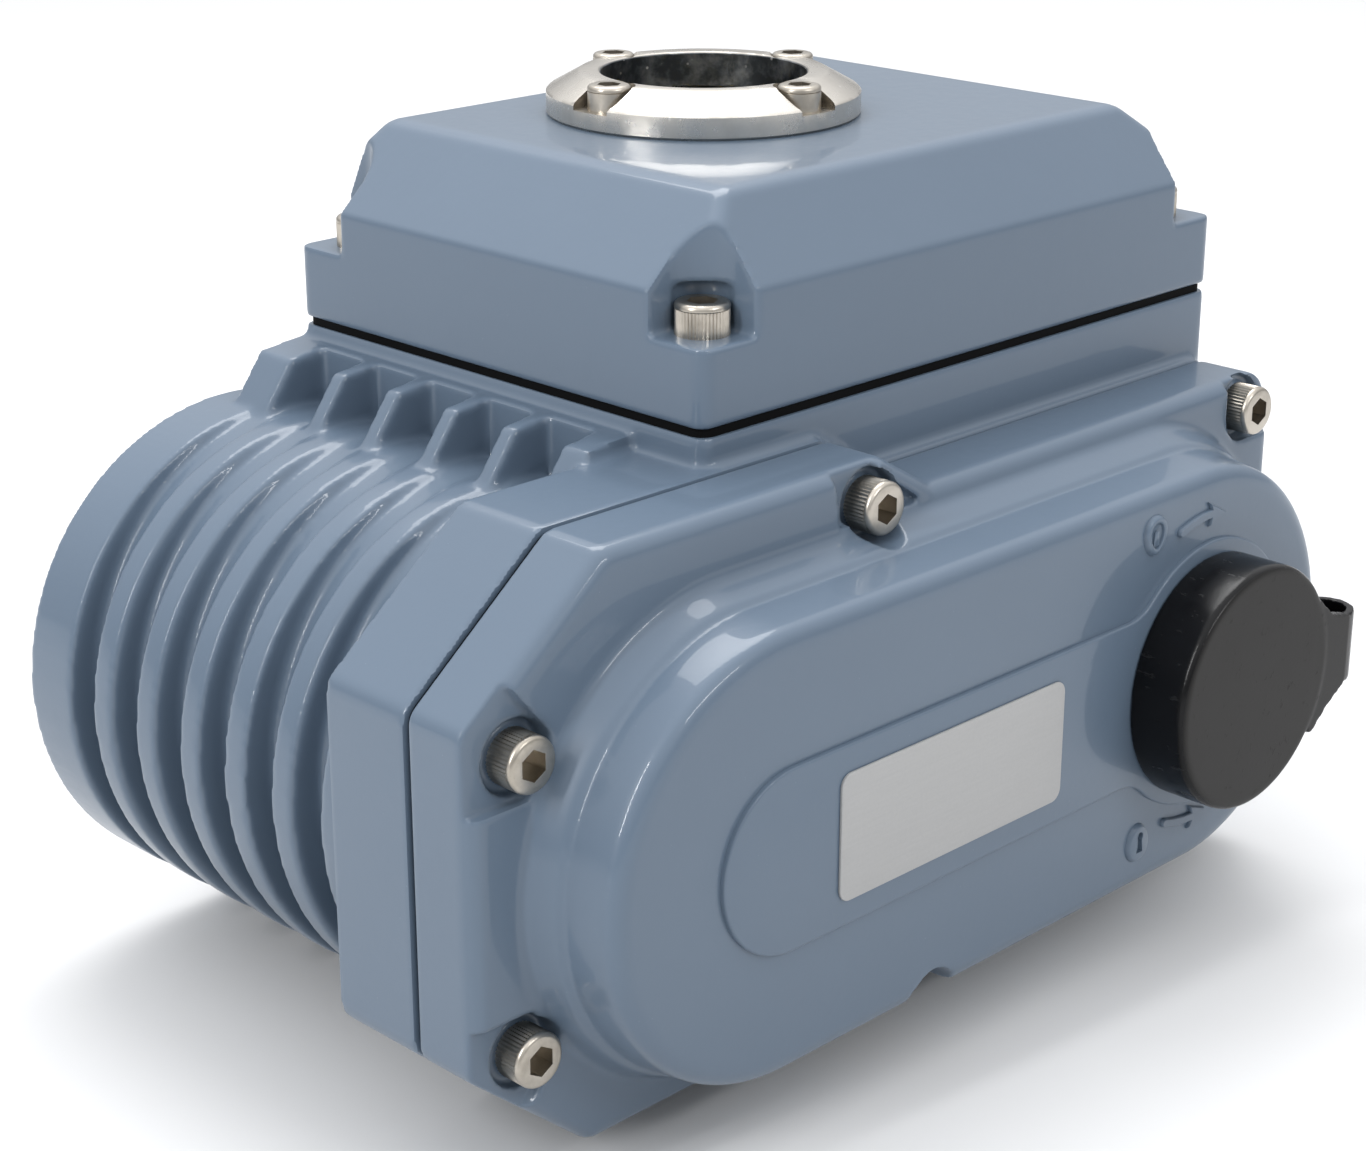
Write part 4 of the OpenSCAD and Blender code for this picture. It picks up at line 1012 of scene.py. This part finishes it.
def manual_cap():
    """The push-on cap, with its pull tab bent into an upright eye on the +X side."""
    centre = (WORM_X, 0, GEAR_Z)
    wall = CAP_R - CAP_WALL
    floor = CAP_FRONT + CAP_FLOOR
    profile = [
        (0, CAP_FRONT), (CAP_R - 1.1, CAP_FRONT), (CAP_R - 0.4, CAP_FRONT + 0.35), (CAP_R, CAP_FRONT + 1.1),
        (CAP_R, CAP_BACK), (wall, CAP_BACK), (wall, floor), (0, floor),
    ]
    cap = turned("manual_cap_moulded", profile, "Y", centre, 192)
    eye = (WORM_X + CAP_R + EYE_OUT, CAP_FRONT + EYE_BACK)
    low, high = EYE_SPAN
    tab = rod("tab", EYE_R, low, high, "Z", eye, 64)
    corners = [
        (WORM_X + CAP_R - 5, GEAR_Z - 17, 1), (WORM_X + CAP_R + 1.5, low - 3.5, 5), (eye[0], low, 1),
        (eye[0], high, 1), (WORM_X + CAP_R + 1, high + 1.5, 4), (WORM_X + CAP_R - 5, GEAR_Z + 14, 1),
    ]
    web = plate("web", rounded(corners, 6), CAP_FRONT + 0.2, CAP_FRONT + 2.8)
    cap.lay_in(tab, web)
    hollow = turned("hollow", [(0, floor), (wall, floor), (wall, 0), (0, 0)], "Y", centre, 128)
    cap.modify("REMESH", mode="VOXEL", voxel_size=CAP_GRAIN, adaptivity=0)
    cap.cut(rod("eye_hole", EYE_HOLE, low - 1, high + 1, "Z", eye, 48))
    cap.cut(hollow)
    return cap.cast(CAP_GRAIN, 4, CAP_BUDGET)


def nameplate():
    """The bare plate, with a softened edge."""
    back = BOSS_Y - PANEL_RISE
    bare = plate("nameplate_bare", rounded_box(PLATE_X, PLATE_Z, 2.5), back, back - PLATE_THICK)
    return bare.modify("BEVEL", width=0.18, segments=3, limit_method="ANGLE", angle_limit=math.radians(40))


def dress_nodes():
    """Gives every CAD node that isn't stood for its finish."""
    for finish, names in NODE_FINISH.items():
        for name in names:
            data = nodes[name].data
            data.materials.clear()
            data.materials.append(FINISHES[finish])


def build_pieces():
    paint = FINISHES["housing_paint"]
    stainless = FINISHES["stainless"]
    gear_housing().finish("housing", paint, "housing_paint", 40, ["gear_housing"])
    end_cover().finish("housing", paint, "housing_paint", 40, ["end_cover"])
    top_cover().finish("housing", paint, "housing_paint", 40, ["top_cover"])
    window_ring().finish("housing", FINISHES["ring_steel"], "ring_steel", 35, ["window_ring"])
    manual_cap().finish("cap", FINISHES["cap_black"], "cap_black", 40, ["manual_cap"])
    nameplate().finish("housing", FINISHES["plate_silver"], "plate_silver", 30, ["nameplate"])
    corners = [(x, y, LID_SEAT) for x in shrunk(CASE_X, SCREW_IN) for y in shrunk(CASE_Y, SCREW_IN)]
    lid = screws("lid_screws_knurled", cap_screw("m6", M6, 28, 44), corners)
    lid.finish("housing", stainless, "stainless", 30, ["lid_screws"])
    seats = [(x, RIM_Y + SCREW_SINK, z) for x, z in COVER_SCREWS]
    cover = screws("cover_screws_knurled", cap_screw("m6", M6, 26, 44), seats, "Y")
    cover.finish("housing", stainless, "stainless", 30, ["cover_screws"])
    ring_z = LID_TOP + RING_SEAT
    crosses = [(RING_SCREW_R, 0, ring_z), (0, RING_SCREW_R, ring_z),
               (-RING_SCREW_R, 0, ring_z), (0, -RING_SCREW_R, ring_z)]
    ring = screws("ring_screws_plated", cap_screw("m5", M5, 7, 0), crosses)
    ring.finish("housing", stainless, "stainless", 30, ["ring_screws"])


# Stage, light and camera


def soft_light(name, place, size, power):
    data = bpy.data.lights.new(name, "AREA")
    data.shape = "RECTANGLE"
    data.size, data.size_y = size
    data.energy = power
    lamp = bpy.data.objects.new(name, data)
    lamp.location = place
    lamp.rotation_euler = (Vector(place) - Vector(LIGHT_AIM)).to_track_quat("Z", "Y").to_euler()
    bpy.context.scene.collection.objects.link(lamp)


def studio():
    """A plain pale floor under a white surround that is brightest overhead, and three soft lights."""
    scene = bpy.context.scene
    world = bpy.data.worlds.new("studio")
    world.use_nodes = True
    tree = world.node_tree
    place = tree.nodes.new("ShaderNodeTexCoord")
    parts = tree.nodes.new("ShaderNodeSeparateXYZ")
    level = tree.nodes.new("ShaderNodeMapRange")
    level.inputs["To Min"].default_value = HORIZON
    level.inputs["To Max"].default_value = ZENITH
    tree.links.new(place.outputs["Generated"], parts.inputs[0])
    tree.links.new(parts.outputs["Z"], level.inputs["Value"])
    background = tree.nodes["Background"]
    background.inputs["Color"].default_value = (0.97, 0.98, 1.0, 1.0)
    tree.links.new(level.outputs[0], background.inputs["Strength"])
    scene.world = world
    leave_edit()
    bpy.ops.mesh.primitive_plane_add(size=FLOOR_SIZE)
    floor = bpy.context.object
    floor.name = "floor"
    pale = Material("floor_pale", Roughness=0.9, Specular_IOR_Level=0.0)
    cloud = pale.noise(3, 2.0)
    pale.colour(pale.mix(cloud, shade(0.66, 0.66, 0.66), shade(0.68, 0.68, 0.68)))
    floor.data.materials.append(pale.data)
    for name, settings in LIGHTS.items():
        soft_light(name, *settings)
    scene.view_settings.view_transform = "Standard"


def camera():
    """The photograph's view: a level camera that looks down by 20 degrees at the nearest corner."""
    data = bpy.data.cameras.new("camera")
    data.sensor_width = 36.0
    data.sensor_fit = "HORIZONTAL"
    data.lens = EYE_LENS
    data.clip_start = 0.01
    eye = bpy.data.objects.new("camera", data)
    eye.location = EYE_PLACE
    eye.rotation_euler = Vector(EYE_AWAY).to_track_quat("Z", "Y").to_euler()
    bpy.context.scene.collection.objects.link(eye)
    bpy.context.scene.camera = eye


camera()
studio()
dress_nodes()
build_pieces()
